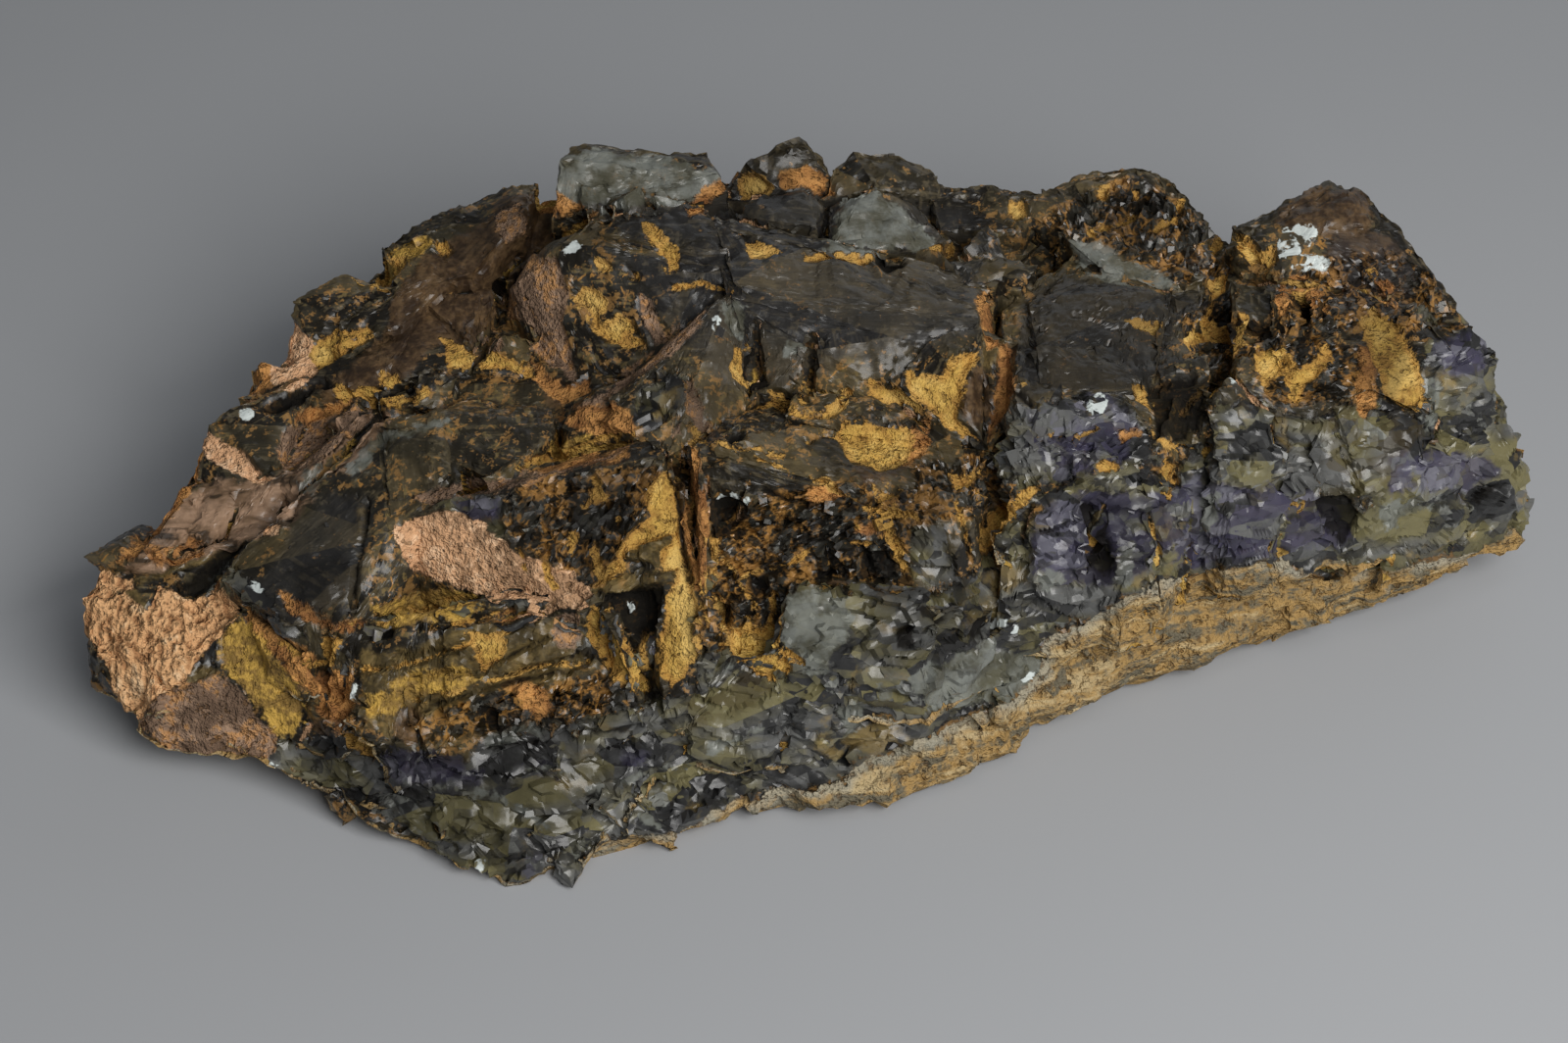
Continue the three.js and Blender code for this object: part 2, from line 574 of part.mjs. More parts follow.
// A row of broken bits of the crust, all turned nearly the same way, as crystals of one growth are.
function crumbRow({ from, to, count, size }) {
  const start = new THREE.Vector3(...from);
  const end = new THREE.Vector3(...to);
  return Array.from({ length: count }, (_, i) => {
    const at = start.clone().lerp(end, (i + 0.5) / count);
    at.add(new THREE.Vector3(...spreadAll(CRUMB_STRAY)));
    const stray = spreadAll(CRUMB_TURN_SPREAD);
    return brokenBit(bitSize(size), at, CRUMB_TURN.map((angle, axis) => angle + stray[axis]));
  });
}

// A band of broken bits sunk in the side.
function studBand({ from, to, height, count, size }) {
  return Array.from({ length: count }, (_, i) => {
    const width = bitSize(size);
    const share = THREE.MathUtils.clamp(height + spread(STUD_STRAY), ...STUD_REACH);
    const at = sidePoint(from + ((to - from) * (i + random())) / count, share);
    at.addScaledVector(outwardAt(at), -STUD_SINK * width);
    at.z = Math.max(at.z, width * STUD_CLEARANCE);
    return brokenBit(width, at, spreadAll(STUD_TURN_SPREAD));
  });
}

// The rock has no hollows: of all the closed surfaces of the joined blocks, the outermost is the specimen.
function filled(solid) {
  return solid.decompose().reduce((best, body) => (body.volume() > best.volume() ? body : best));
}

// Everything above the table.
function trimmedToTable(solid) {
  const table = new THREE.BoxGeometry(...TABLE_BLOCK);
  table.translate(0, 0, -TABLE_BLOCK[2] / 2);
  return solid.subtract(solidOf(table));
}

const pieces = [
  slab(),
  ...BLOCKS.map(block),
  ...BLOCKS.filter((entry) => entry.terrace).map(terraceOf),
  ...CRUMB_ROWS.flatMap(crumbRow),
  ...STUD_BANDS.flatMap(studBand),
];
const joined = pieces.reduce((sum, piece) => sum.add(piece));
const cleft = CLEFTS.reduce((rest, { corners }) => {
  const gap = new ConvexGeometry(corners.map((corner) => new THREE.Vector3(...corner)));
  return rest.subtract(solidOf(gap));
}, joined);

const geometry = geometryOf(filled(trimmedToTable(cleft)));
geometry.computeBoundingBox();
const middle = geometry.boundingBox.getCenter(new THREE.Vector3());
geometry.translate(-middle.x, -middle.y, 0);

const specimen = new THREE.Mesh(
  geometry,
  new THREE.MeshStandardMaterial({ color: 0x3a332c, roughness: 0.5, metalness: 0 }),
);
specimen.name = "fluorite_specimen";

const part = new THREE.Group();
part.add(specimen);
export default part;
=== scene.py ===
import math

import bpy
import numpy as np
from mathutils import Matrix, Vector
from mathutils.bvhtree import BVHTree
from mathutils.kdtree import KDTree


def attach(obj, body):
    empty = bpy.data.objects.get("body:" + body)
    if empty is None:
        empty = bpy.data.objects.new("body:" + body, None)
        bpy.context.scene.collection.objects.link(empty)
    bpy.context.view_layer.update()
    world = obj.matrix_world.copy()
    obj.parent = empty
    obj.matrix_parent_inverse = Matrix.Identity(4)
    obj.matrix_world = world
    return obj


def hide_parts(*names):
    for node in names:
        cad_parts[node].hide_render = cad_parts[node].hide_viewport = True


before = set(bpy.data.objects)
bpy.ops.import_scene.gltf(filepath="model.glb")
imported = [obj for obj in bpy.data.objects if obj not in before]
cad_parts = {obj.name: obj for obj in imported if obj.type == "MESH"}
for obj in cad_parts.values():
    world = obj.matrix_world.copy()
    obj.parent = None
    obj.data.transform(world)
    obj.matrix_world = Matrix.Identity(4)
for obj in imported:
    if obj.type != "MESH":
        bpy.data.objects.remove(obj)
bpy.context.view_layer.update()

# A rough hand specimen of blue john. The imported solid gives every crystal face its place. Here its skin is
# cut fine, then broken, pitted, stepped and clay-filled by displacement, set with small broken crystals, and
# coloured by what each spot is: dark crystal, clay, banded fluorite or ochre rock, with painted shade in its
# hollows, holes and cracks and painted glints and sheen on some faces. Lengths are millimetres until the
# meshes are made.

MM = 0.001
# The slab was laid out about a point this far, in x and y, from the middle of its overall box.
LAYOUT_SHIFT = np.array([1.990, 7.652, 0.0])
JOIN_STEP = 2e-4  # corners nearer than this are one
MOST_CUTS = 9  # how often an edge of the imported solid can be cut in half
CRYSTAL_CORNER = 35  # two faces that turn by more degrees than this meet in a crystal edge
EDGE_REACH = 1.9  # how far from a crystal edge its wear is felt
SHARP_FROM = 32  # the skin's own edges are sharp from this many degrees
GRAIN_SHARP_FROM = 20
DEEPEST = -2.2  # the furthest that the skin is pushed in
HIGHEST = 1.4  # and out
SLACK_SHARE = 0.012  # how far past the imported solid's box it may reach, as a share of each side
SIGHT_LIFT = 0.25  # a sight line starts this far off the face

# Camera and light.

IMAGE_SIZE = (1600, 1064)
CAMERA_ELEVATION = 42.0
CAMERA_DISTANCE = 470.0
CAMERA_TARGET = np.array([-3.0, 3.0, 22.0]) - LAYOUT_SHIFT
PIXELS_PER_MM = 8.15  # at the target
SENSOR = 36.0


def camera_axes():
    lift = math.radians(CAMERA_ELEVATION)
    back = np.array([0.0, -math.cos(lift), math.sin(lift)])
    right = np.array([1.0, 0.0, 0.0])
    return right, np.cross(back, right), back


def place_camera():
    data = bpy.data.cameras.new("camera")
    camera = bpy.data.objects.new("camera", data)
    bpy.context.scene.collection.objects.link(camera)
    back = camera_axes()[2]
    camera.location = Vector((CAMERA_TARGET + back * CAMERA_DISTANCE) * MM)
    camera.rotation_mode = "QUATERNION"
    camera.rotation_quaternion = Vector(-back).to_track_quat("-Z", "Y")
    data.sensor_width = SENSOR
    data.lens = PIXELS_PER_MM * CAMERA_DISTANCE * SENSOR / IMAGE_SIZE[0]
    data.clip_start = 0.01
    data.clip_end = 20
    bpy.context.scene.camera = camera


def area_light(name, place, aim, size, power, colour):
    data = bpy.data.lights.new(name, "AREA")
    data.shape = "RECTANGLE"
    data.size, data.size_y = size
    data.energy = power
    data.color = colour
    light = bpy.data.objects.new(name, data)
    bpy.context.scene.collection.objects.link(light)
    light.location = place
    light.rotation_mode = "QUATERNION"
    light.rotation_quaternion = (Vector(aim) - Vector(place)).to_track_quat("-Z", "Y")


place_camera()
area_light("window", (0.22, -0.36, 0.37), (0.03, -0.08, 0.0), (0.38, 0.28), 3.2, (1.0, 0.985, 0.965))
area_light("ceiling", (0.2, -0.4, 1.2), (0.0, 0.0, 0.0), (1.0, 0.6), 1.6, (0.95, 0.97, 1.0))
area_light("far wall", (0.25, 0.75, 0.40), (0.0, 0.05, 0.02), (0.9, 0.5), 0.8, (0.95, 0.97, 1.0))
world = bpy.data.worlds.new("room")
bpy.context.scene.world = world
world.use_nodes = True
world.node_tree.nodes["Background"].inputs["Color"].default_value = (0.90, 0.95, 1.0, 1)
world.node_tree.nodes["Background"].inputs["Strength"].default_value = 0.105
bpy.context.scene.view_settings.view_transform = "Standard"

# Noise.


def hashed(cells, seed):
    """A number from 0 to 1 for every whole-number cell."""
    x, y, z = (cells[:, i].astype(np.int64) for i in range(3))
    h = (x * 374761393 + y * 668265263 + z * 2147483647 + seed * 974634777) & 0xFFFFFFFF
    h = ((h ^ (h >> 13)) * 1274126177) & 0xFFFFFFFF
    h = ((h ^ (h >> 16)) * 2246822519) & 0xFFFFFFFF
    return ((h ^ (h >> 15)) & 0xFFFFFF) / 0xFFFFFF


def noise(points, size, seed):
    """Smooth noise from -1 to 1 with lumps of about the given size."""
    scaled = points / size
    cell = np.floor(scaled)
    part = scaled - cell
    ease = part * part * (3 - 2 * part)
    total = np.zeros(len(points))
    for corner in np.ndindex(2, 2, 2):
        weight = np.ones(len(points))
        for axis in range(3):
            weight *= ease[:, axis] if corner[axis] else 1 - ease[:, axis]
        total += weight * hashed(cell + np.array(corner), seed)
    return total * 2 - 1


def rough(points, size, seed, octaves=3):
    total, strength = np.zeros(len(points)), 1.0
    for octave in range(octaves):
        total += strength * noise(points, size / 2**octave, seed + octave * 17)
        strength *= 0.5
    return total


def split(points, size, seed):
    """Splits space into irregular grains. Gives a tilted flat in each, and how near its border is."""
    scaled = points / size
    cell = np.floor(scaled)
    first = np.full(len(points), 1e9)
    second = np.full(len(points), 1e9)
    tilt = np.zeros(len(points))
    for offset in np.ndindex(3, 3, 3):
        home = cell + np.array(offset) - 1
        jitter = np.stack([hashed(home, seed + k) for k in range(3)], 1)
        away = scaled - home - jitter
        distance = (away**2).sum(1)
        nearer = distance < first
        second = np.where(nearer, first, np.minimum(second, distance))
        slope = np.stack([hashed(home, seed + 5 + k) for k in range(3)], 1) * 2 - 1
        level = hashed(home, seed + 11) * 2 - 1
        tilt = np.where(nearer, (away * slope).sum(1) + 0.5 * level, tilt)
        first = np.where(nearer, distance, first)
    return tilt, np.sqrt(second) - np.sqrt(first)


def smooth(x, low, high):
    t = np.clip((x - low) / (high - low), 0, 1)
    return t * t * (3 - 2 * t)


# The fine skin.


def packed_mesh():
    """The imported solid's corners, joined, and its triangles, in millimetres."""
    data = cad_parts["fluorite_specimen"].data
    data.calc_loop_triangles()
    corners = np.empty(len(data.vertices) * 3)
    data.vertices.foreach_get("co", corners)
    triangles = np.empty(len(data.loop_triangles) * 3, np.int64)
    data.loop_triangles.foreach_get("vertices", triangles)
    corners = corners.reshape(-1, 3) / MM
    rounded = np.round(corners / JOIN_STEP).astype(np.int64)
    _, first, same = np.unique(rounded, axis=0, return_index=True, return_inverse=True)
    triangles = same.reshape(-1)[triangles].reshape(-1, 3)
    whole = (
        (triangles[:, 0] != triangles[:, 1])
        & (triangles[:, 1] != triangles[:, 2])
        & (triangles[:, 2] != triangles[:, 0])
    )
    return corners[first], triangles[whole]


def face_normals(points, triangles):
    a, b, c = (points[triangles[:, i]] for i in range(3))
    normal = np.cross(b - a, c - a)
    length = np.linalg.norm(normal, axis=1, keepdims=True)
    return normal / np.maximum(length, 1e-12), length[:, 0] / 2


SEEN_EDGE = 0.84
BACK_EDGE = 1.2
UNDER_EDGE = 2.6


def edge_limit(middle, normal):
    """How long an edge may stay: short on the crust and the front, longer at the back and underneath."""
    limit = np.full(len(middle), SEEN_EDGE)
    limit = np.where((normal[:, 1] > 0.35) & (normal[:, 2] < 0.5), BACK_EDGE, limit)
    return np.where(normal[:, 2] < -0.6, UNDER_EDGE, limit)


def refined(points, triangles):
    """Cuts every long edge in half, again and again, and keeps which packed face each piece came from."""
    source = np.arange(len(triangles))
    normal = face_normals(points, triangles)[0]
    for _ in range(MOST_CUTS):
        sides = np.stack([triangles, np.roll(triangles, -1, 1)], 2)  # side i runs from corner i to i + 1
        ends = np.sort(sides, 2).reshape(-1, 2)
        keys, index = np.unique(ends[:, 0] * len(points) + ends[:, 1], return_inverse=True)
        edges = np.stack(np.divmod(keys, len(points)), 1)
        index = index.reshape(-1, 3)
        length = np.linalg.norm(points[edges[:, 0]] - points[edges[:, 1]], axis=1)
        limit = edge_limit(points[triangles].mean(1), normal[source])
        allowed = np.full(len(edges), 1e9)
        for i in range(3):
            np.minimum.at(allowed, index[:, i], limit)
        cut = length > allowed
        if not cut.any():
            break
        middle = np.full(len(edges), -1)
        middle[cut] = len(points) + np.arange(cut.sum())
        points = np.concatenate([points, points[edges[cut]].mean(1)])
        mids = middle[index]
        count = (mids >= 0).sum(1)
        parts, origins = [triangles[count == 0]], [source[count == 0]]

        def keep(rows, *pieces):
            for piece in pieces:
                parts.append(np.stack(piece, 1))
                origins.append(source[rows])

        rows = np.where(count == 3)[0]
        a, b, c = triangles[rows].T
        ab, bc, ca = mids[rows].T
        keep(rows, (a, ab, ca), (ab, b, bc), (ca, bc, c), (ab, bc, ca))
        for turn in range(3):
            order = [(turn + i) % 3 for i in range(3)]
            a, b, c = triangles[:, order].T
            ab, bc, ca = mids[:, order].T
            rows = np.where((count == 1) & (ab >= 0))[0]
            keep(rows, (a[rows], ab[rows], c[rows]), (ab[rows], b[rows], c[rows]))
            rows = np.where((count == 2) & (ca < 0))[0]
            keep(
                rows,
                (a[rows], ab[rows], bc[rows]),
                (a[rows], bc[rows], c[rows]),
                (ab[rows], b[rows], bc[rows]),
            )
        triangles, source = np.concatenate(parts), np.concatenate(origins)
    return points, triangles, source


def corner_normals(points, triangles):
    normal, area = face_normals(points, triangles)
    total = np.zeros_like(points)
    for i in range(3):
        np.add.at(total, triangles[:, i], normal * area[:, None])
    return total / np.maximum(np.linalg.norm(total, axis=1, keepdims=True), 1e-12)


def crystal_edges(points, triangles, normals):
    """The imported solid's outward crystal edges, and the longest crystal edge's direction for every face."""
    sides = np.stack([triangles, np.roll(triangles, -1, 1)], 2)
    keys = np.sort(sides, 2).reshape(-1, 2)
    order = np.lexsort((keys[:, 1], keys[:, 0]))
    keys, face = keys[order], order // 3
    pair = np.where((keys[:-1] == keys[1:]).all(1))[0]
    one, two = face[pair], face[pair + 1]
    start, stop = points[keys[pair, 0]], points[keys[pair, 1]]
    turned = (normals[one] * normals[two]).sum(1) < math.cos(math.radians(CRYSTAL_CORNER))
    away = points[triangles[two]].mean(1) - start
    outward = (away * normals[one]).sum(1) < 0
    sharp = turned & outward
    run = np.repeat([[1.0, 0.0, 0.0]], len(triangles), 0)
    longest = np.zeros(len(triangles))
    length = np.linalg.norm(stop - start, axis=1)
    for faces in (one, two):
        for i in np.where(turned & (length > 0.5))[0]:
            if length[i] > longest[faces[i]]:
                longest[faces[i]] = length[i]
                run[faces[i]] = (stop[i] - start[i]) / length[i]
    return start[sharp], stop[sharp], run


def nearness(places, starts, stops, reach):
    """How near each place is to a crystal edge: 1 on it, 0 at the given reach."""
    marks = []
    for start, stop in zip(starts, stops):
        count = max(1, int(np.linalg.norm(stop - start) / 0.5))
        marks.extend(start + (stop - start) * (k + 0.5) / count for k in range(count))
    tree = KDTree(len(marks))
    for i, mark in enumerate(marks):
        tree.insert(mark, i)
    tree.balance()
    return np.array([max(0.0, 1 - tree.find(place)[2] / reach) for place in places])


packed_points, packed_triangles = packed_mesh()
packed_normals = face_normals(packed_points, packed_triangles)[0]
points, triangles, source = refined(packed_points, packed_triangles)
normals = corner_normals(points, triangles)
spot = points + LAYOUT_SHIFT  # places in the slab's own layout
edge_starts, edge_stops, face_runs = crystal_edges(packed_points, packed_triangles, packed_normals)
near_edge = nearness(points, edge_starts, edge_stops, EDGE_REACH)


# Markings.

# Each outline is a list of corners in pixels of the front view, IMAGE_SIZE across. A seam has a width and
# the line that it follows.
OCHRE_PATCHES = {
    "below the shelf": [
        (744, 640), (772, 640), (796, 656), (806, 682), (796, 700), (770, 690), (746, 668),
    ],
    "fang by the tongue": [
        (600, 616), (617, 622), (634, 645), (653, 672), (661, 704), (648, 708), (627, 694), (609, 668),
        (598, 640),
    ],
    "broad valley patch": [
        (926, 372), (935, 378), (946, 376), (950, 382), (962, 380), (968, 370), (978, 366), (998, 362),
        (990, 376), (982, 392), (980, 412), (976, 428), (985, 436), (1000, 448), (998, 457), (980, 447),
        (960, 431), (945, 416), (932, 403), (924, 392),
    ],
    "strip beside it": [
        (884, 388), (900, 397), (925, 408), (940, 421), (928, 424), (905, 416), (884, 405),
    ],
    "ramp": [
        (858, 428), (884, 434), (905, 432), (926, 440), (932, 458), (920, 474), (900, 478), (880, 472),
        (866, 461), (852, 440),
    ],
    "tongue": [
        (666, 500), (680, 482), (692, 490), (692, 545), (702, 572), (708, 600), (714, 630), (717, 655),
        (708, 680), (700, 700), (685, 706), (676, 690), (668, 665), (667, 650), (678, 630), (676, 611),
        (690, 590), (680, 585), (672, 571), (674, 556), (660, 556), (640, 560), (632, 586), (611, 596),
        (616, 584), (630, 565), (645, 545), (660, 529),
    ],
    "second spike": [
        (604, 616), (618, 627), (630, 645), (642, 662), (650, 680), (655, 701), (648, 712), (640, 701),
        (625, 681), (615, 651), (606, 631),
    ],
    "mark under the second spike": [(655, 640), (664, 652), (666, 680), (660, 690), (652, 668)],
    "left shard": [(603, 484), (610, 490), (617, 510), (611, 520), (594, 521), (596, 512), (606, 508)],
    "left splinter": [(606, 548), (611, 560), (613, 580), (620, 592), (612, 594), (606, 580), (602, 560)],
    "small shard": [(625, 520), (634, 528), (632, 538), (624, 532)],
    "left slope flake": [(583, 536), (598, 540), (590, 552), (584, 566), (580, 556)],
    "seam under the pink face": [(552, 570), (561, 575), (569, 590), (575, 604), (566, 606), (556, 592)],
    "thin seam under the pink face": [(524, 556), (533, 562), (537, 582), (531, 584), (526, 572)],
    "island on the pink crystal": [
        (580, 303), (592, 294), (604, 296), (619, 306), (617, 318), (606, 318), (610, 330), (628, 336),
        (650, 343), (655, 354), (642, 356), (620, 347), (604, 333), (594, 316),
    ],
    "bright island": [(618, 330), (632, 322), (646, 324), (648, 340), (632, 346), (620, 340)],
    "tan spot": [(606, 262), (618, 264), (628, 274), (616, 278), (608, 272)],
    "tan arc": [(656, 226), (672, 232), (688, 252), (694, 272), (684, 280), (678, 262), (664, 244)],
    "small tan spot": [(640, 276), (656, 278), (652, 288), (642, 286)],
    "notch": [(752, 353), (762, 352), (764, 380), (769, 396), (758, 390), (748, 376)],
    "edge band one": [
        (782, 402), (796, 406), (812, 414), (840, 420), (856, 410), (862, 397), (868, 402), (862, 420),
        (845, 428), (820, 425), (800, 416), (784, 410),
    ],
    "edge spur": [(822, 378), (828, 384), (830, 404), (822, 414), (816, 402)],
    "edge spot": [(806, 390), (814, 396), (808, 402)],
    "edge corner patch": [(886, 384), (900, 392), (920, 402), (924, 410), (900, 406), (882, 396)],
    "gap by the small pyramid": [
        (488, 362), (500, 358), (520, 362), (538, 366), (546, 384), (530, 386), (506, 380), (486, 378),
    ],
    "back slope patch": [
        (448, 345), (462, 348), (482, 355), (486, 366), (474, 376), (458, 382), (452, 366),
    ],
    "back slope lump": [(442, 248), (452, 246), (460, 256), (452, 266), (442, 260)],
    "back edge lump": [
        (386, 268), (398, 258), (412, 262), (414, 272), (402, 284), (398, 300), (388, 292),
    ],
    "back edge strip": [(360, 282), (374, 280), (382, 288), (368, 292)],
    "left crystal yellow face": [
        (320, 346), (340, 335), (372, 324), (380, 338), (360, 352), (342, 366), (322, 378), (314, 362),
    ],
    "left slope loop": [(386, 380), (400, 376), (408, 388), (398, 396), (388, 394)],
    "left slope lump": [(340, 392), (352, 396), (360, 410), (352, 415), (342, 406)],
    "left slope long patch": [
        (362, 398), (380, 392), (392, 400), (412, 402), (430, 391), (440, 397), (428, 409), (408, 417),
        (390, 415), (370, 416), (362, 410),
    ],
    "knob left patch": [
        (752, 184), (764, 176), (778, 178), (790, 188), (778, 200), (768, 210), (756, 204),
    ],
    "under the round face": [
        (760, 234), (772, 240), (782, 252), (796, 256), (786, 262), (770, 258), (762, 248),
    ],
    "line under the kite": [
        (822, 254), (850, 256), (880, 260), (892, 264), (880, 270), (850, 264), (822, 262),
    ],
    "right of the kite": [(950, 250), (968, 250), (972, 262), (956, 262)],
    "orange knob lower": [(1030, 206), (1044, 206), (1048, 222), (1036, 226), (1028, 218)],
    "back lump spot one": [(1152, 196), (1160, 194), (1164, 204), (1156, 208)],
    "back lump spot two": [(1118, 190), (1128, 190), (1128, 200), (1120, 200)],
    "back lump arc": [
        (1106, 236), (1124, 226), (1140, 222), (1150, 214), (1162, 214), (1158, 226), (1138, 232),
        (1124, 240),
    ],
    "back lump bright spot": [(1224, 246), (1244, 244), (1246, 252), (1240, 262), (1228, 258)],
    "right notch": [
        (1256, 236), (1272, 244), (1285, 255), (1300, 246), (1303, 262), (1290, 277), (1275, 270),
        (1262, 254),
    ],
    "below the notch": [(1236, 280), (1252, 280), (1252, 296), (1242, 304), (1232, 296)],
    "winding path": [
        (1210, 339), (1222, 327), (1234, 330), (1246, 327), (1262, 320), (1270, 328), (1262, 340),
        (1278, 345), (1262, 352), (1240, 352), (1220, 358),
    ],
    "start of the path": [(1148, 328), (1165, 326), (1180, 323), (1192, 329), (1178, 339), (1156, 336)],
    "lower path": [
        (1280, 354), (1300, 351), (1316, 360), (1312, 374), (1326, 369), (1342, 364), (1346, 354),
        (1361, 352), (1363, 366), (1346, 376), (1345, 386), (1331, 393), (1326, 412), (1315, 404),
        (1311, 381), (1300, 386), (1294, 401), (1287, 389),
    ],
    "right column": [
        (1393, 322), (1410, 317), (1427, 325), (1440, 345), (1449, 370), (1452, 390), (1462, 411),
        (1450, 421), (1430, 411), (1414, 396), (1403, 371), (1397, 345),
    ],
    "corner spot": [(1156, 392), (1166, 388), (1174, 402), (1170, 412), (1160, 404)],
    "right front spots": [(1186, 466), (1200, 474), (1202, 494), (1190, 506), (1186, 490)],
    "right front speck": [(1118, 474), (1134, 468), (1146, 474), (1140, 482), (1122, 482)],
    "forked seam": [
        (1069, 498), (1050, 499), (1030, 511), (1020, 518), (1005, 524), (1003, 545), (1000, 562),
        (1007, 562), (1016, 546), (1026, 536), (1040, 521), (1056, 508),
    ],
    "shelf seam": [
        (870, 506), (884, 510), (900, 516), (926, 520), (938, 528), (920, 527), (896, 524), (876, 516),
    ],
    "shelf loop": [(888, 496), (908, 496), (924, 502), (914, 506), (894, 506)],
    "loop by the wall": [
        (960, 466), (968, 474), (984, 482), (1000, 470), (1006, 462), (1004, 480), (988, 496), (976, 500),
        (968, 484),
    ],
    "web upright": [
        (904, 528), (910, 540), (920, 560), (926, 580), (920, 604), (914, 604), (918, 582), (910, 562),
        (900, 546),
    ],
    "web top": [(862, 546), (880, 552), (904, 560), (900, 566), (876, 560), (860, 554)],
    "pale corner": [(780, 634), (796, 634), (797, 664), (788, 664), (776, 654)],
    "line by the grey lump": [(796, 658), (816, 668), (821, 676), (800, 668)],
    "shelf upright one": [(784, 600), (792, 600), (788, 640), (780, 640)],
    "shelf column": [(724, 548), (738, 552), (734, 580), (728, 606), (720, 610)],
    "shelf low column": [(724, 616), (734, 610), (738, 640), (728, 650)],
    "striped crystal patch two": [
        (476, 648), (500, 646), (516, 652), (512, 668), (496, 686), (486, 684), (484, 668),
    ],
    "lower left patch": [(352, 748), (366, 752), (378, 764), (378, 778), (364, 770), (352, 758)],
    "left crystal low patch": [(330, 650), (344, 646), (352, 656), (342, 670), (330, 668)],
}
ORANGE_PATCHES = {
    "line at the left crystal's foot": [
        (284, 606), (306, 612), (328, 624), (350, 635), (376, 634), (382, 641), (352, 647), (326, 641),
        (304, 632), (290, 622),
    ],
    "line over the valley": [
        (242, 618), (262, 628), (286, 648), (308, 662), (326, 676), (318, 684), (296, 668), (272, 652),
        (250, 634),
    ],
    "beside the striped crystal": [
        (500, 634), (520, 620), (560, 612), (584, 606), (580, 616), (548, 628), (520, 638),
    ],
    "speckled foot": [(524, 704), (540, 698), (558, 706), (562, 724), (548, 734), (532, 726)],
    "outer back slope": [
        (212, 404), (240, 384), (262, 372), (290, 350), (300, 326), (284, 318), (250, 350), (216, 396),
        (204, 436),
    ],
    "slope foot": [(150, 560), (176, 560), (200, 548), (206, 562), (180, 574), (156, 576)],
    "wall by the tongue": [
        (697, 470), (714, 474), (722, 500), (725, 540), (724, 580), (720, 600), (710, 600), (704, 560),
        (698, 520),
    ],
    "fin tip": [(698, 454), (708, 452), (714, 466), (708, 480), (698, 472)],
    "ramp end": [(926, 436), (946, 428), (951, 436), (947, 455), (936, 468), (924, 476)],
    "wall by the broad patch": [
        (1018, 352), (1034, 352), (1036, 390), (1030, 420), (1010, 446), (1003, 456), (1004, 440),
        (1014, 420), (1018, 390),
    ],
    "wall above it": [(1000, 298), (1012, 296), (1014, 330), (1018, 352), (1008, 360), (1002, 340)],
    "smear": [
        (586, 414), (606, 405), (628, 413), (650, 432), (642, 446), (612, 446), (588, 438), (572, 428),
    ],
    "low smear": [
        (530, 480), (545, 466), (575, 460), (610, 462), (640, 456), (640, 466), (600, 474), (560, 482),
    ],
    "gap behind the face": [
        (544, 366), (560, 384), (584, 396), (600, 386), (604, 400), (580, 414), (560, 404), (546, 388),
    ],
    "broken valley": [
        (250, 628), (270, 640), (300, 668), (330, 690), (355, 688), (360, 720), (350, 742), (336, 738),
        (322, 720), (308, 705), (290, 685), (268, 656),
    ],
    "knob right patch": [
        (800, 178), (820, 172), (846, 180), (852, 200), (836, 200), (816, 190), (800, 188),
    ],
    "edge of the pale block": [
        (700, 212), (718, 200), (736, 186), (748, 172), (754, 178), (740, 196), (722, 212), (706, 220),
    ],
    "pale block foot": [
        (556, 196), (568, 196), (584, 210), (606, 212), (606, 218), (570, 220), (556, 216),
    ],
    "shelf bits four": [(824, 500), (850, 496), (866, 506), (846, 514), (826, 512)],
    "shelf bits five": [(866, 536), (888, 530), (902, 540), (884, 548)],
    "right front lump edge": [(1146, 440), (1158, 436), (1162, 446), (1150, 450)],
    "right crust four": [(1400, 282), (1420, 286), (1424, 304), (1408, 306)],
    "right slot side": [
        (1302, 290), (1316, 278), (1332, 280), (1350, 300), (1356, 318), (1342, 312), (1326, 294),
        (1314, 300), (1308, 322), (1300, 318),
    ],
    "orange sliver": [(1388, 352), (1404, 356), (1404, 404), (1398, 430), (1390, 420)],
    "left edge of the slope": [
        (200, 452), (212, 452), (190, 500), (160, 546), (140, 566), (120, 572), (150, 536), (176, 494),
    ],
    "left back slope edge": [
        (214, 404), (240, 384), (262, 372), (284, 360), (286, 388), (262, 398), (232, 410), (214, 424),
    ],
    "low back orange": [(300, 420), (330, 416), (352, 406), (360, 414), (330, 428), (302, 434)],
    "dark side gap": [(318, 700), (334, 706), (336, 728), (326, 732), (318, 716)],
}
PINK_PATCHES = {
    "tail of the front face": [
        (520, 560), (560, 574), (596, 590), (606, 604), (590, 618), (556, 628), (528, 630), (506, 612),
        (520, 590),
    ],
    "front face": [
        (402, 535), (430, 526), (452, 520), (480, 532), (500, 546), (519, 551), (528, 566), (536, 590),
        (552, 612), (590, 610), (602, 616), (575, 624), (556, 632), (540, 637), (530, 626), (508, 618),
        (488, 606), (460, 598), (430, 590), (417, 578), (402, 552),
    ],
    "left small face": [
        (206, 440), (222, 446), (250, 462), (262, 477), (280, 489), (262, 493), (240, 485), (222, 472),
        (205, 458),
    ],
    "left crystal face": [
        (288, 321), (306, 330), (316, 348), (322, 379), (310, 390), (296, 393), (280, 390), (278, 362),
        (284, 340),
    ],
    "valley fin": [(312, 734), (319, 738), (310, 756), (302, 762), (304, 752)],
    "left wall top": [(266, 536), (284, 532), (282, 544), (266, 546)],
}
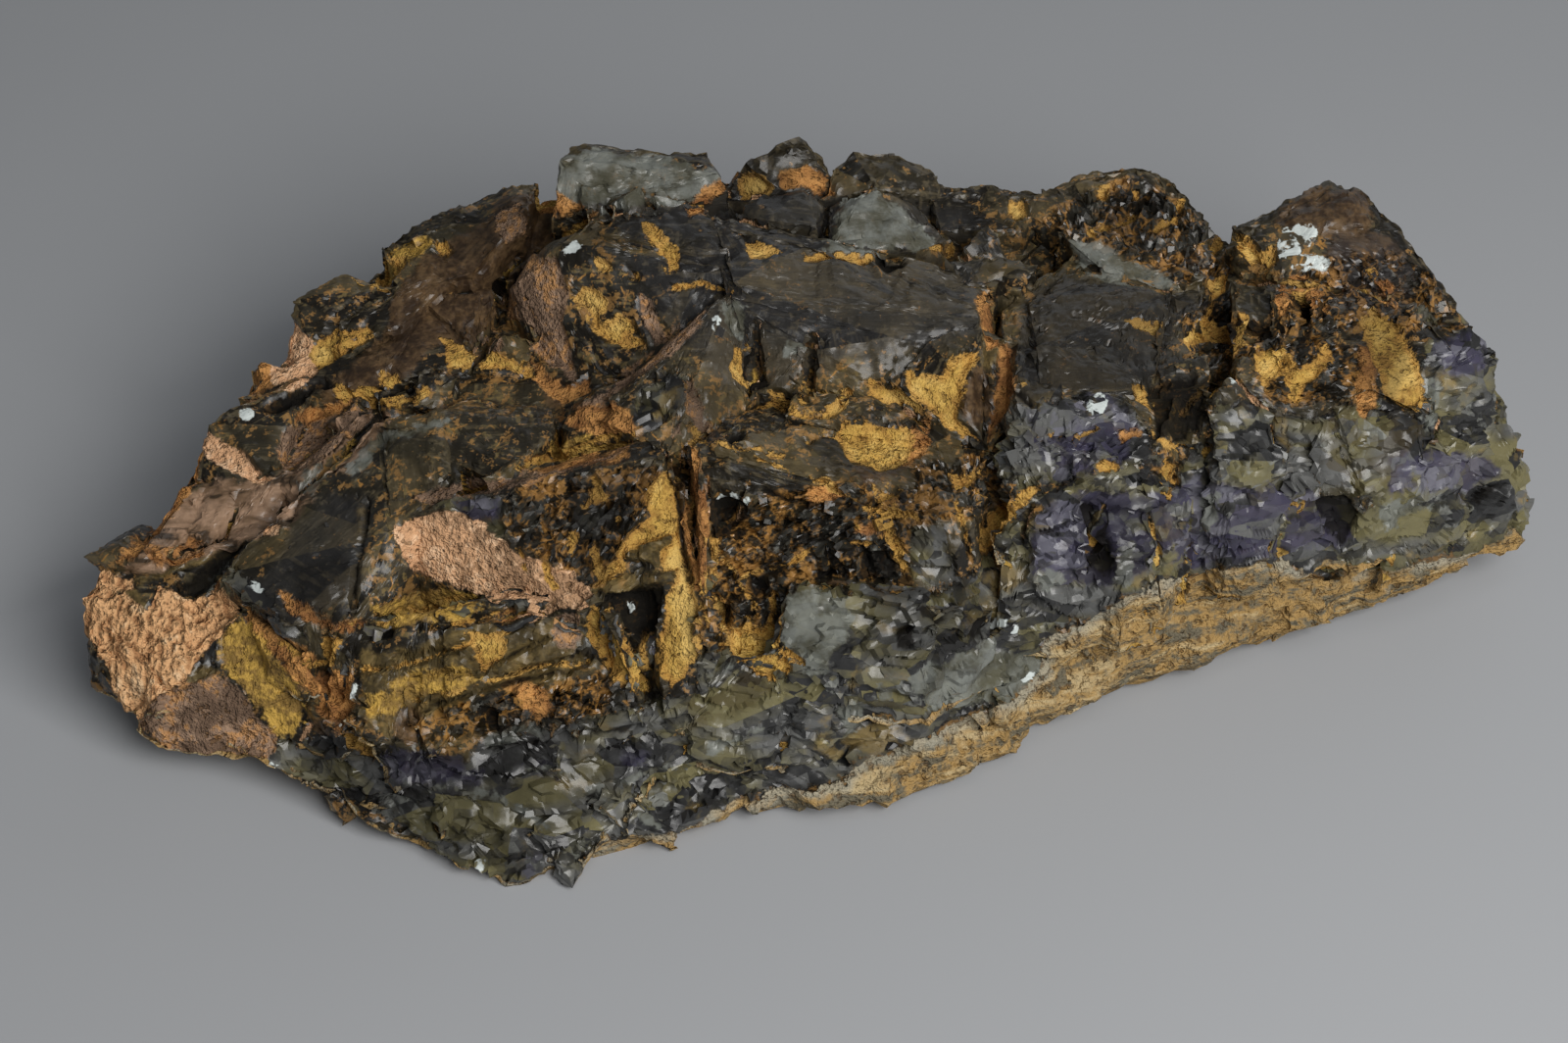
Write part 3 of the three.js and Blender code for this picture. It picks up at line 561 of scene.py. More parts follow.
ROSE_PATCHES = {
    "left corner crystal": [
        (146, 716), (180, 701), (222, 690), (242, 700), (262, 728), (282, 752), (280, 770), (262, 786),
        (230, 782), (204, 776), (178, 766), (150, 751), (130, 744),
    ],
    "back face": [
        (534, 262), (568, 262), (574, 280), (582, 296), (578, 320), (577, 345), (586, 370), (590, 390),
        (580, 392), (572, 376), (562, 374), (548, 360), (540, 336), (520, 321), (507, 306), (516, 294),
        (527, 279),
    ],
    "small pyramid": [(505, 337), (514, 350), (512, 361), (490, 368), (490, 356)],
    "fin": [(651, 300), (664, 306), (672, 328), (679, 346), (664, 354), (655, 330)],
    "ridge": [
        (722, 320), (702, 345), (682, 366), (642, 392), (612, 412), (590, 412), (620, 392), (660, 361),
        (690, 337),
    ],
    "triangle": [
        (702, 384), (712, 396), (718, 416), (723, 428), (734, 441), (725, 445), (711, 432), (703, 419),
        (700, 400),
    ],
    "small point": [(688, 430), (696, 428), (698, 442), (684, 446)],
    "brown point": [(572, 628), (586, 626), (596, 650), (588, 662), (570, 662), (562, 648)],
    "slope streak one": [(286, 440), (330, 430), (350, 440), (330, 470), (300, 480), (286, 470)],
    "slope streak two": [(350, 420), (380, 412), (384, 430), (360, 446), (344, 446)],
    "back of the edge": [(505, 215), (530, 210), (536, 232), (516, 246), (504, 236)],
    "crest of the front face": [
        (418, 506), (470, 492), (540, 484), (600, 470), (640, 456), (620, 466), (560, 484), (500, 500),
        (440, 516),
    ],
}
MUSTARD_PATCHES = {
    "left corner face": [
        (243, 627), (256, 640), (270, 660), (292, 690), (309, 712), (307, 738), (300, 752), (284, 744),
        (262, 725), (244, 701), (226, 677), (223, 656), (231, 641),
    ],
    "yellow film under the smear": [
        (555, 463), (562, 451), (580, 444), (602, 446), (592, 458), (572, 467),
    ],
    "striped crystal patch one": [
        (398, 690), (430, 684), (470, 680), (492, 690), (470, 704), (440, 712), (414, 714), (396, 708),
    ],
    "striped crystal patch low": [(372, 706), (400, 704), (416, 718), (400, 730), (376, 728)],
    "back edge strip of the slope": [(402, 252), (430, 244), (440, 252), (412, 272), (396, 268)],
    "left crystal low face": [
        (380, 620), (430, 600), (480, 606), (500, 620), (460, 632), (410, 640), (384, 640),
    ],
}
SLOPE_PATCHES = {
    "lower left slope": [
        (206, 486), (262, 494), (290, 486), (318, 470), (330, 486), (318, 510), (300, 530), (262, 548),
        (230, 556), (170, 580), (120, 590), (150, 548), (184, 510),
    ],
    "middle left slope": [
        (284, 440), (330, 425), (400, 420), (384, 452), (350, 476), (318, 486), (290, 486),
    ],
}
OLIVE_PATCHES = {
    "striped crystal": [
        (372, 668), (420, 660), (470, 644), (540, 636), (600, 640), (606, 680), (566, 700), (500, 712),
        (430, 730), (400, 742), (376, 740), (368, 700),
    ],
    "striped crystal lower face": [
        (424, 728), (470, 716), (500, 716), (520, 740), (490, 756), (450, 764), (432, 756), (424, 742),
    ],
    "green grey plate": [
        (796, 656), (801, 666), (796, 690), (792, 710), (762, 726), (736, 736), (704, 747), (702, 720),
        (716, 700), (740, 700), (756, 680), (776, 664),
    ],
    "right green lump": [
        (1348, 416), (1376, 408), (1410, 420), (1456, 420), (1452, 444), (1430, 462), (1424, 490),
        (1400, 506), (1360, 508), (1346, 480), (1350, 450),
    ],
    "flap": [
        (580, 603), (610, 594), (640, 590), (666, 590), (690, 583), (690, 592), (666, 600), (640, 605),
        (610, 605),
    ],
    "left crack lip": [(360, 536), (368, 514), (374, 516), (368, 546), (360, 558)],
    "left ridge": [
        (136, 592), (160, 580), (200, 566), (244, 546), (240, 556), (200, 576), (164, 590), (140, 602),
    ],
    "wall crest": [
        (1000, 296), (1012, 294), (1016, 330), (1024, 352), (1012, 380), (1002, 372), (998, 340),
    ],
    "nose hollow": [(126, 600), (140, 598), (150, 612), (146, 626), (132, 624)],
    "low right of the valley": [(362, 700), (400, 712), (408, 736), (398, 750), (366, 740)],
}
FLAP_PATCHES = {
    "notch in the tongue": [
        (637, 566), (652, 558), (688, 546), (684, 556), (668, 566), (674, 576), (650, 572),
    ],
    "flap over the tongue": [
        (583, 604), (612, 594), (643, 586), (672, 584), (694, 581), (688, 593), (660, 598), (627, 605),
        (600, 607),
    ],
}
# Pale faces and grains: partly the rock's own pale fluorite, partly painted sheen on faces that catch the
# light, such as the kite and the lens.
PALE_AND_SHEEN_PATCHES = {
    "back block": [
        (566, 160), (640, 158), (700, 162), (736, 176), (740, 184), (716, 204), (700, 211), (600, 213),
        (572, 210), (560, 196), (564, 178),
    ],
    "kite": [
        (868, 197), (890, 194), (913, 207), (932, 222), (962, 252), (936, 254), (880, 261), (842, 256),
        (846, 232), (856, 213),
    ],
    "lens": [
        (1086, 239), (1108, 245), (1140, 257), (1176, 272), (1208, 292), (1180, 298), (1150, 294),
        (1125, 284), (1105, 272), (1096, 258),
    ],
    "grey lump": [
        (804, 608), (836, 601), (862, 606), (868, 630), (862, 650), (846, 674), (824, 688), (808, 670),
        (800, 644),
    ],
    "notch plate": [(740, 306), (756, 304), (762, 322), (758, 344), (744, 344), (738, 324)],
    "grey block top": [(800, 348), (820, 348), (820, 358), (806, 360)],
    "crystal point": [(310, 478), (326, 474), (334, 484), (318, 506), (306, 500)],
    "crystal rim": [
        (382, 436), (410, 436), (440, 426), (462, 428), (452, 434), (424, 444), (396, 446), (372, 474),
        (358, 480), (366, 458),
    ],
    "ledge over the band": [
        (492, 756), (508, 744), (530, 742), (562, 746), (548, 752), (520, 756), (500, 764),
    ],
    "clear facet right": [
        (930, 692), (960, 675), (1005, 656), (1022, 664), (1056, 660), (1060, 682), (1050, 702),
        (1000, 722), (958, 726), (930, 706),
    ],
    "bright facet below the lump": [(822, 668), (846, 668), (850, 690), (826, 690)],
    "pale band grain one": [(574, 852), (592, 846), (604, 862), (586, 876)],
    "pale band grain two": [(600, 802), (616, 800), (620, 814), (604, 816)],
    "pale band grain three": [(650, 830), (668, 832), (672, 842), (656, 840)],
    "pale band grain four": [(894, 700), (914, 702), (912, 716), (896, 714)],
    "pale band grain five": [(858, 716), (878, 720), (880, 742), (862, 748)],
    "white lobe grain": [(1408, 514), (1440, 508), (1462, 516), (1440, 530), (1412, 534)],
    "right lobe pale": [(1440, 384), (1462, 388), (1476, 420), (1462, 436), (1446, 414)],
    "striped plate": [(1138, 584), (1146, 556), (1154, 548), (1158, 566), (1150, 596), (1140, 598)],
    "violet lens": [(1226, 506), (1242, 504), (1242, 540), (1226, 538)],
    "white grain": [(1062, 592), (1074, 584), (1088, 588), (1080, 600), (1066, 604)],
}
VIOLET_PATCHES = {
    "left band": [(384, 762), (430, 764), (470, 772), (480, 790), (440, 800), (400, 792), (384, 780)],
    "blue band": [(462, 782), (496, 784), (492, 800), (464, 800)],
    "band grain": [(630, 772), (646, 764), (664, 766), (662, 780), (636, 784)],
    "lower band grain": [(530, 880), (556, 872), (552, 890), (534, 900)],
    "dark lower grain": [(534, 780), (566, 778), (566, 792), (540, 794)],
    "right front grains": [(1050, 545), (1064, 540), (1066, 572), (1056, 584), (1050, 570)],
    "right front lump": [(1080, 550), (1100, 544), (1112, 566), (1100, 580), (1084, 574)],
    "dark wedge foot": [(1108, 584), (1124, 574), (1140, 590), (1138, 598), (1112, 598)],
    "striped grain": [(1156, 536), (1172, 522), (1188, 530), (1192, 560), (1176, 572), (1160, 570)],
    "strong grain": [(1240, 500), (1264, 492), (1276, 508), (1264, 534), (1242, 542)],
    "band below the cluster": [
        (1190, 500), (1290, 490), (1350, 500), (1380, 550), (1300, 572), (1200, 580),
    ],
    "band by the wedge": [
        (1060, 520), (1110, 500), (1190, 500), (1196, 560), (1150, 590), (1080, 600), (1060, 580),
    ],
    "plateau front": [(1050, 420), (1120, 400), (1160, 430), (1150, 480), (1080, 490), (1040, 460)],
    "grains beside it": [(1200, 500), (1226, 486), (1226, 540), (1204, 540)],
    "low right grains": [
        (1200, 544), (1236, 540), (1250, 556), (1290, 552), (1288, 566), (1240, 570), (1206, 560),
    ],
    "right hollow": [(1298, 500), (1330, 496), (1344, 512), (1340, 534), (1304, 540), (1290, 520)],
    "upper right lobe": [(1466, 344), (1500, 336), (1520, 352), (1512, 380), (1480, 384), (1464, 366)],
    "right end": [(1438, 470), (1470, 460), (1520, 466), (1528, 490), (1500, 500), (1452, 500)],
    "left of the lump": [(1410, 464), (1432, 462), (1440, 490), (1420, 500)],
    "dark upper": [(1146, 300), (1186, 298), (1200, 312), (1180, 324), (1150, 318)],
    "glossy ridge": [(704, 350), (726, 346), (730, 372), (712, 382), (700, 372)],
    "face front grains": [(466, 512), (508, 506), (510, 530), (480, 536), (466, 530)],
}
BROWN_PATCHES = {
    "back slope": [
        (330, 398), (392, 345), (402, 300), (440, 262), (500, 218), (556, 200), (560, 222), (520, 280),
        (506, 310), (500, 336), (480, 352), (440, 352), (420, 380), (392, 396), (352, 420), (330, 420),
    ],
    "hollow behind the block": [
        (540, 200), (562, 210), (562, 250), (520, 290), (500, 330), (494, 300), (508, 262), (530, 232),
    ],
    "wall side of the tongue": [
        (686, 476), (700, 480), (700, 540), (706, 580), (704, 606), (696, 560), (690, 520),
    ],
    "red hollow": [(404, 722), (418, 718), (430, 730), (434, 758), (416, 756), (404, 744)],
    "red hole": [(320, 734), (334, 728), (344, 744), (342, 764), (326, 762), (318, 748)],
    "inside the broad patch": [
        (982, 392), (1000, 380), (1014, 388), (1012, 420), (1000, 440), (984, 430), (978, 412),
    ],
    "right crust": [
        (1300, 226), (1340, 192), (1384, 190), (1396, 200), (1396, 236), (1370, 244), (1340, 236),
        (1310, 234),
    ],
    "right shoulder": [
        (1356, 244), (1396, 236), (1424, 246), (1440, 276), (1440, 316), (1400, 322), (1352, 320),
        (1350, 280),
    ],
    "back lump foot": [(1190, 256), (1232, 262), (1236, 280), (1200, 282), (1176, 272)],
    "left of the pale block": [(500, 206), (540, 196), (556, 200), (552, 236), (520, 250), (500, 236)],
    "ramp shade": [(868, 476), (900, 480), (936, 470), (926, 482), (896, 496), (880, 500)],
    "hollow under the ridge": [(560, 384), (600, 400), (590, 416), (560, 420), (556, 400)],
}
COOL_PATCHES = {
    "plateau": [
        (1040, 300), (1090, 282), (1130, 290), (1206, 300), (1236, 312), (1200, 326), (1190, 380),
        (1160, 400), (1080, 400), (1040, 410),
    ],
    "right shoulder": [
        (1356, 244), (1396, 236), (1424, 246), (1440, 276), (1440, 316), (1400, 322), (1370, 300),
    ],
    "right green lump": [
        (1348, 416), (1376, 408), (1410, 420), (1456, 420), (1452, 444), (1430, 462), (1424, 490),
        (1400, 506), (1360, 508), (1346, 480),
    ],
    "upper tables": [
        (640, 262), (760, 236), (1000, 262), (1004, 340), (940, 360), (880, 356), (800, 400), (740, 396),
        (690, 340),
    ],
    "plates behind": [
        (620, 200), (760, 176), (900, 200), (1000, 216), (1000, 260), (760, 236), (640, 250),
    ],
    "left crystal front": [(380, 512), (374, 600), (300, 640), (260, 600), (300, 540), (340, 500)],
}
# Darkened places: partly painted shade under and behind crystals and at their feet, partly a darker tone of
# the rock.
SHADE_AND_DARK_TONE_PATCHES = {
    "left of the back lumps": [(980, 214), (1050, 220), (1060, 262), (1010, 262), (976, 250)],
    "back lumps": [(1130, 200), (1190, 200), (1196, 250), (1150, 262), (1124, 240)],
    "behind the ramp": [(840, 440), (866, 462), (900, 482), (870, 496), (836, 480)],
    "ochre at the right": [
        (1376, 318), (1410, 312), (1436, 330), (1440, 372), (1424, 404), (1390, 396), (1376, 350),
    ],
    "behind the pale block": [(745, 150), (800, 150), (812, 190), (790, 214), (752, 212)],
    "far left plates": [(455, 214), (540, 196), (556, 214), (512, 250), (470, 262)],
    "plates behind the left ridge": [(590, 204), (640, 206), (664, 236), (640, 262), (600, 258)],
    "under the ridge": [(680, 384), (740, 392), (760, 420), (730, 446), (684, 440)],
    "right of the ochre wedge": [(905, 470), (960, 470), (966, 520), (940, 560), (905, 552)],
    "left crystal foot": [(300, 572), (372, 570), (372, 620), (340, 640), (304, 620)],
    "foot of the striped crystal": [
        (480, 736), (540, 730), (620, 740), (600, 770), (540, 776), (480, 770),
    ],
    "plateau back": [
        (1040, 300), (1090, 282), (1130, 290), (1206, 300), (1236, 312), (1200, 326), (1190, 380),
        (1160, 400), (1080, 400), (1040, 410),
    ],
    "left band": [
        (330, 750), (430, 764), (500, 770), (600, 760), (660, 760), (640, 800), (600, 840), (580, 870),
        (540, 900), (430, 860), (330, 800),
    ],
    "right half of the grey lump": [
        (884, 602), (960, 606), (984, 640), (958, 672), (904, 690), (878, 662),
    ],
    "right of the grey lump": [(900, 600), (1000, 590), (1020, 640), (990, 660), (930, 680), (900, 660)],
    "dark wedge": [(1100, 512), (1190, 512), (1190, 566), (1140, 600), (1106, 594)],
    "left of the tongue": [(576, 500), (640, 476), (672, 484), (640, 540), (620, 596), (590, 590)],
}
# Painted shade: black put into holes, slots, cracks, gaps and under edges, and on a few black faces.
BLACK_AND_SHADE_PATCHES = {
    "triangle": [
        (721, 510), (728, 506), (746, 507), (762, 513), (765, 526), (755, 533), (740, 546), (727, 549),
        (721, 530),
    ],
    "hole by the tongue": [
        (621, 606), (674, 603), (670, 626), (660, 650), (655, 659), (641, 641), (626, 622),
    ],
    "slot": [(764, 350), (772, 354), (780, 394), (774, 398), (766, 380)],
    "cleft": [
        (240, 550), (246, 556), (232, 570), (221, 588), (211, 600), (196, 609), (184, 606), (180, 596),
        (198, 586), (214, 570), (224, 558),
    ],
    "thin crack": [(288, 530), (300, 512), (304, 510), (296, 526), (290, 534)],
    "upper crack": [(330, 474), (342, 452), (356, 440), (352, 462), (340, 478)],
    "hole in the striped crystal": [
        (484, 730), (494, 722), (506, 728), (520, 740), (508, 745), (490, 738),
    ],
    "wedge left": [(370, 642), (392, 636), (404, 642), (398, 650), (376, 652)],
    "web hole": [(880, 566), (902, 564), (914, 576), (914, 598), (890, 600), (874, 588)],
    "web hole two": [(764, 590), (780, 590), (784, 602), (770, 608)],
    "web hole three": [(832, 582), (852, 582), (850, 594), (834, 594)],
    "web hole four": [(734, 616), (746, 612), (744, 632), (732, 632)],
    "face right": [
        (1172, 388), (1206, 382), (1222, 384), (1222, 420), (1210, 448), (1184, 450), (1178, 424),
    ],
    "gap right of it": [(1222, 394), (1244, 382), (1250, 384), (1238, 404), (1222, 436), (1214, 440)],
    "right hole": [(1264, 328), (1282, 322), (1300, 328), (1302, 344), (1280, 346), (1266, 340)],
    "right slot": [(1318, 298), (1330, 296), (1338, 318), (1336, 352), (1326, 358), (1326, 320)],
    "lump hole": [(912, 645), (930, 640), (932, 660), (918, 662)],
    "lump hole two": [(940, 616), (958, 614), (972, 626), (956, 640), (940, 630)],
    "triangle right": [(990, 650), (1004, 624), (1018, 634), (1018, 648)],
    "dark wedge": [(1106, 520), (1122, 520), (1136, 560), (1130, 584), (1112, 580), (1108, 550)],
    "right hollow floor": [(1344, 506), (1376, 508), (1388, 530), (1370, 556), (1348, 536)],
    "crack right": [(1500, 512), (1520, 498), (1536, 495), (1530, 504), (1506, 516)],
    "under the kite": [(896, 258), (920, 256), (924, 270), (906, 276), (894, 268)],
    "dark side of the block": [(1008, 288), (1024, 282), (1028, 292), (1014, 306), (1008, 304)],
    "under the edge": [(740, 440), (756, 438), (760, 446), (748, 452)],
    "left dark strip": [
        (274, 408), (300, 396), (330, 384), (338, 390), (316, 404), (284, 420), (262, 416),
    ],
    "back of the left face": [(504, 290), (520, 276), (530, 260), (534, 266), (516, 292), (506, 310)],
}
GRANULAR_PATCHES = {
    "right green lump": [
        (1340, 424), (1372, 410), (1420, 412), (1450, 430), (1448, 470), (1430, 500), (1390, 512),
        (1350, 500), (1338, 460),
    ],
    "band": [
        (270, 764), (300, 753), (345, 745), (365, 765), (430, 768), (470, 775), (495, 752), (560, 742),
        (600, 735), (655, 720), (705, 703), (716, 668), (760, 652), (796, 655), (800, 615), (815, 598),
        (860, 595), (925, 602), (960, 606), (985, 588), (1010, 560), (1030, 525), (1066, 500),
        (1100, 486), (1150, 466), (1200, 496), (1212, 462), (1244, 412), (1290, 410), (1300, 424),
        (1346, 424), (1350, 510), (1400, 515), (1440, 440), (1456, 350), (1500, 330), (1540, 350),
        (1536, 440), (1580, 450), (1580, 520), (1560, 562), (1480, 606), (1200, 690), (1040, 766),
        (700, 886), (520, 914), (430, 864), (330, 806), (262, 790),
    ],
    "plateau front": [
        (1034, 420), (1100, 400), (1150, 410), (1176, 450), (1180, 470), (1100, 490), (1040, 500),
        (1010, 470),
    ],
    "left crystal front": [
        (232, 570), (244, 582), (264, 598), (282, 625), (302, 651), (286, 652), (262, 626), (234, 606),
        (214, 600),
    ],
    "left corner edge": [
        (243, 630), (228, 646), (222, 660), (218, 680), (206, 692), (184, 702), (196, 680), (206, 662),
        (226, 642),
    ],
    "top of the pink face": [
        (430, 524), (450, 510), (500, 504), (522, 490), (512, 532), (520, 548), (490, 540), (458, 520),
    ],
    "stripe end": [(358, 690), (370, 694), (374, 720), (366, 734), (356, 716)],
    "hole rim": [(588, 664), (600, 648), (612, 650), (612, 670), (596, 674)],
    "ridge crest": [(640, 432), (650, 404), (676, 386), (704, 378), (700, 400), (690, 424), (660, 440)],
    "slab edge": [(706, 700), (716, 680), (740, 664), (776, 652), (760, 674), (730, 694)],
    "shelf specks": [(930, 540), (962, 536), (972, 566), (980, 590), (950, 600), (930, 590)],
}
# Painted highlights: small near-white glints painted into the colour of facets and edges.
PAINTED_GLINT_PATCHES = {
    "right crest": [
        (1303, 246), (1308, 235), (1325, 231), (1341, 230), (1343, 240), (1331, 249), (1326, 258),
        (1350, 262), (1357, 268), (1352, 276), (1335, 277), (1318, 275), (1314, 266), (1302, 263),
    ],
    "left face edge": [(572, 256), (586, 247), (592, 252), (584, 260), (574, 263)],
    "notch edge": [(726, 330), (732, 322), (738, 324), (736, 334), (728, 337)],
    "triangle edge": [(729, 507), (738, 501), (752, 506), (765, 511), (760, 515), (744, 510), (732, 511)],
    "hole glint": [(642, 617), (648, 616), (650, 622), (644, 625)],
    "band glint": [(488, 877), (496, 876), (498, 884), (490, 886)],
    "plateau glint": [(1110, 412), (1120, 402), (1130, 410), (1126, 422), (1114, 420)],
    "right glint one": [(1018, 632), (1026, 632), (1026, 638), (1018, 640)],
    "right glint two": [(1028, 640), (1040, 638), (1040, 648), (1030, 648)],
    "clear facet glint": [(1043, 692), (1056, 688), (1056, 694), (1045, 696)],
    "left corner glint": [(256, 592), (268, 600), (266, 606), (256, 600)],
    "valley rim glint": [(358, 698), (364, 702), (364, 716), (358, 712)],
    "left slope glint": [(246, 420), (256, 416), (260, 424), (250, 428)],
    "corner lump glint": [(1254, 382), (1264, 382), (1264, 390), (1256, 392)],
    "bottom left glint": [(272, 778), (284, 780), (292, 792), (280, 790)],
}
CRUMBLY_PATCHES = {
    "shelf front": [
        (722, 548), (740, 530), (766, 516), (800, 500), (866, 494), (930, 500), (960, 520), (940, 560),
        (930, 602), (860, 596), (814, 598), (800, 618), (796, 640), (760, 656), (730, 670), (716, 650),
        (722, 600),
    ],
    "left of the tongue": [
        (512, 500), (560, 484), (640, 476), (676, 480), (664, 520), (640, 540), (630, 590), (600, 600),
        (576, 600), (560, 570), (520, 552),
    ],
    "broken valley": [
        (250, 628), (270, 640), (300, 668), (330, 690), (356, 688), (372, 700), (370, 740), (350, 752),
        (336, 742), (322, 720), (308, 705), (290, 685), (268, 656),
    ],
    "ramp": [(858, 428), (950, 428), (950, 450), (936, 470), (900, 480), (866, 462)],
    "striped crystal end": [
        (470, 716), (520, 700), (566, 700), (600, 680), (650, 700), (650, 722), (600, 736), (560, 742),
        (500, 748), (440, 760), (424, 740),
    ],
    "between the seams": [
        (930, 480), (1000, 460), (1050, 440), (1100, 440), (1160, 440), (1200, 470), (1190, 500),
        (1060, 500), (1010, 524), (960, 530), (936, 510),
    ],
    "right shoulder": [
        (1300, 280), (1350, 262), (1420, 256), (1460, 280), (1480, 320), (1440, 340), (1396, 330),
        (1340, 350), (1300, 340),
    ],
    "path sides": [
        (1206, 326), (1262, 316), (1300, 340), (1350, 350), (1400, 360), (1392, 410), (1330, 414),
        (1290, 404), (1276, 360), (1220, 362),
    ],
    "back lumps": [
        (1060, 230), (1100, 200), (1150, 184), (1200, 200), (1236, 240), (1250, 280), (1210, 290),
        (1150, 262), (1100, 240),
    ],
}
SKIN_PATCHES = {
    "lower edge": [
        (590, 878), (612, 862), (652, 855), (700, 846), (760, 816), (800, 806), (860, 800), (880, 775),
        (930, 760), (985, 735), (1030, 712), (1060, 690), (1062, 655), (1092, 640), (1150, 610),
        (1200, 590), (1260, 576), (1300, 572), (1350, 592), (1400, 582), (1450, 577), (1500, 562),
        (1545, 546), (1566, 560), (1500, 604), (1300, 664), (1230, 694), (1100, 744), (1040, 794),
        (900, 844), (700, 900), (600, 908),
    ],
}
NOSE_PATCHES = {
    "end": [
        (82, 600), (96, 592), (110, 598), (130, 606), (150, 626), (164, 600), (176, 602), (190, 612),
        (210, 606), (222, 602), (244, 624), (230, 642), (206, 664), (190, 690), (160, 712), (140, 736),
        (126, 738), (112, 690), (86, 650),
    ],
    "upper lumps": [(100, 584), (136, 590), (140, 602), (110, 604), (98, 596)],
}
SEAMS = {
    "ochre": {
        "join across the left crystal": (4, [
            (346, 640), (366, 638), (384, 636), (412, 622), (440, 616), (470, 610),
        ]),
        "stripe one": (3, [(430, 640), (470, 634), (520, 626)]),
        "stripe two": (4, [(372, 684), (420, 676), (470, 662), (500, 650), (530, 640)]),
        "stripe three": (4, [(420, 716), (480, 700), (540, 684), (600, 672)]),
        "column beside the black face": (4, [
            (1172, 404), (1174, 430), (1180, 452), (1206, 456), (1214, 462),
        ]),
        "left web": (3, [(1000, 504), (1003, 540), (1001, 566)]),
        "right web": (3, [(976, 512), (984, 540), (990, 566)]),
        "small web": (3, [(772, 470), (800, 474), (840, 492), (868, 508)]),
        "edge of the ramp": (4, [(822, 450), (840, 440), (856, 446), (872, 470)]),
        "shelf web": (3, [(734, 558), (754, 590), (790, 580), (820, 566), (842, 556), (872, 534)]),
        "shelf web low": (3, [(754, 592), (770, 616), (760, 640), (730, 660)]),
        "shelf web right": (3, [(842, 556), (850, 580), (838, 600)]),
        "under the smear": (5, [(530, 478), (560, 466), (600, 456), (650, 440), (676, 428)]),
        "left rim seam": (4, [(282, 655), (300, 668), (320, 680), (336, 676)]),
        "top table seam": (3, [(700, 430), (724, 448), (760, 458), (800, 462)]),
        "right plateau seam": (4, [(1228, 330), (1240, 300), (1250, 284)]),
        "lower right seam": (4, [(1210, 420), (1222, 404), (1240, 392)]),
        "plate crack": (3, [(1060, 440), (1090, 446), (1120, 438)]),
        "back lump seam": (5, [(1180, 230), (1200, 222), (1206, 204)]),
        "right shoulder seam": (5, [(1400, 284), (1412, 300), (1400, 322), (1396, 344)]),
        "back table seam": (4, [(690, 292), (716, 290), (742, 296)]),
    },
    # Painted shade along cracks, gaps and the shaded feet of walls and spikes.
    "black": {
        "crack": (3, [(374, 512), (370, 540), (366, 570), (362, 600), (359, 624)]),
        "edge of the corner face": (4, [(300, 660), (316, 682), (332, 690)]),
        "foot of the left crystal": (4, [(250, 622), (276, 640), (296, 660), (316, 680)]),
        "wall shade": (4, [(690, 482), (694, 520), (698, 560), (704, 590)]),
        "spike shade": (5, [(612, 604), (632, 634), (648, 662), (660, 684), (664, 712)]),
        "stripe gap one": (2, [(400, 668), (450, 664), (500, 676), (560, 650)]),
        "stripe gap two": (2, [(420, 690), (470, 684), (520, 688), (600, 664)]),
        "stripe gap three": (3, [(430, 722), (480, 706), (540, 694), (580, 684)]),
        "band gap one": (3, [(500, 764), (560, 756), (620, 748), (660, 740)]),
        "band gap two": (3, [(600, 812), (640, 806), (700, 796)]),
        "shelf gap": (4, [(780, 500), (820, 516), (860, 516), (900, 506)]),
        "web gap": (4, [(846, 562), (862, 580), (858, 600)]),
        "plateau gap": (4, [(1040, 400), (1056, 416), (1050, 440)]),
    },
    # Pale streaks and ledges, and a painted glint along the front rim of the left crystal.
    "pale": {
        "front rim of the left crystal": (4, [(232, 570), (218, 590), (214, 602)]),
        "streaks by the plate one": (3, [(716, 696), (744, 678), (776, 654)]),
        "streaks by the plate two": (3, [(700, 780), (740, 762), (780, 744)]),
        "band streak": (4, [(440, 800), (500, 812), (560, 842), (590, 862)]),
        "band ledge": (4, [(520, 782), (540, 786), (580, 784)]),
        "band ledge right": (4, [(630, 800), (660, 790), (700, 784)]),
    },
}

PIXELS_PER_FIELD_MM = 8.0
FIELD_REACH = 2.0  # how far in or out, in mm, a marking's edge is still felt


def front_pixels(places):
    """Where each place falls in the front view, in pixels."""
    right, up, back = camera_axes()
    away = places - (CAMERA_TARGET + back * CAMERA_DISTANCE)
    scale = PIXELS_PER_MM * CAMERA_DISTANCE / -(away @ back)
    return np.stack([IMAGE_SIZE[0] / 2 + scale * (away @ right), IMAGE_SIZE[1] / 2 - scale * (away @ up)], 1)


def in_front_view(places, outward):
    """True for every place that nothing hides from the front view."""
    tree = BVHTree.FromPolygons(packed_points.tolist(), packed_triangles.tolist())
    viewer = Vector(CAMERA_TARGET + camera_axes()[2] * CAMERA_DISTANCE)
    clear = np.zeros(len(places), bool)
    for i, place in enumerate(places + outward * SIGHT_LIFT):
        start = Vector(place)
        clear[i] = tree.ray_cast(start, (viewer - start).normalized())[0] is None
    return clear


def line_distance(places, line, closed):
    """How far, in pixels, each place is from a line of pixel corners."""
    corners = np.array(line, float)
    starts = corners if closed else corners[:-1]
    stops = np.roll(corners, -1, 0) if closed else corners[1:]
    nearest = np.full(len(places), 1e9)
    for start, stop in zip(starts, stops):
        run = stop - start
        share = np.clip((places - start) @ run / (run @ run), 0, 1)
        nearest = np.minimum(nearest, np.linalg.norm(places - start - share[:, None] * run, axis=1))
    return nearest


def inside(places, outline):
    corners = np.array(outline, float)
    within = np.zeros(len(places), bool)
    for (x1, y1), (x2, y2) in zip(corners, np.roll(corners, -1, 0)):
        if y1 == y2:
            continue
        crosses = (places[:, 1] < y1) != (places[:, 1] < y2)
        within ^= crosses & (places[:, 0] < x1 + (places[:, 1] - y1) * (x2 - x1) / (y2 - y1))
    return within


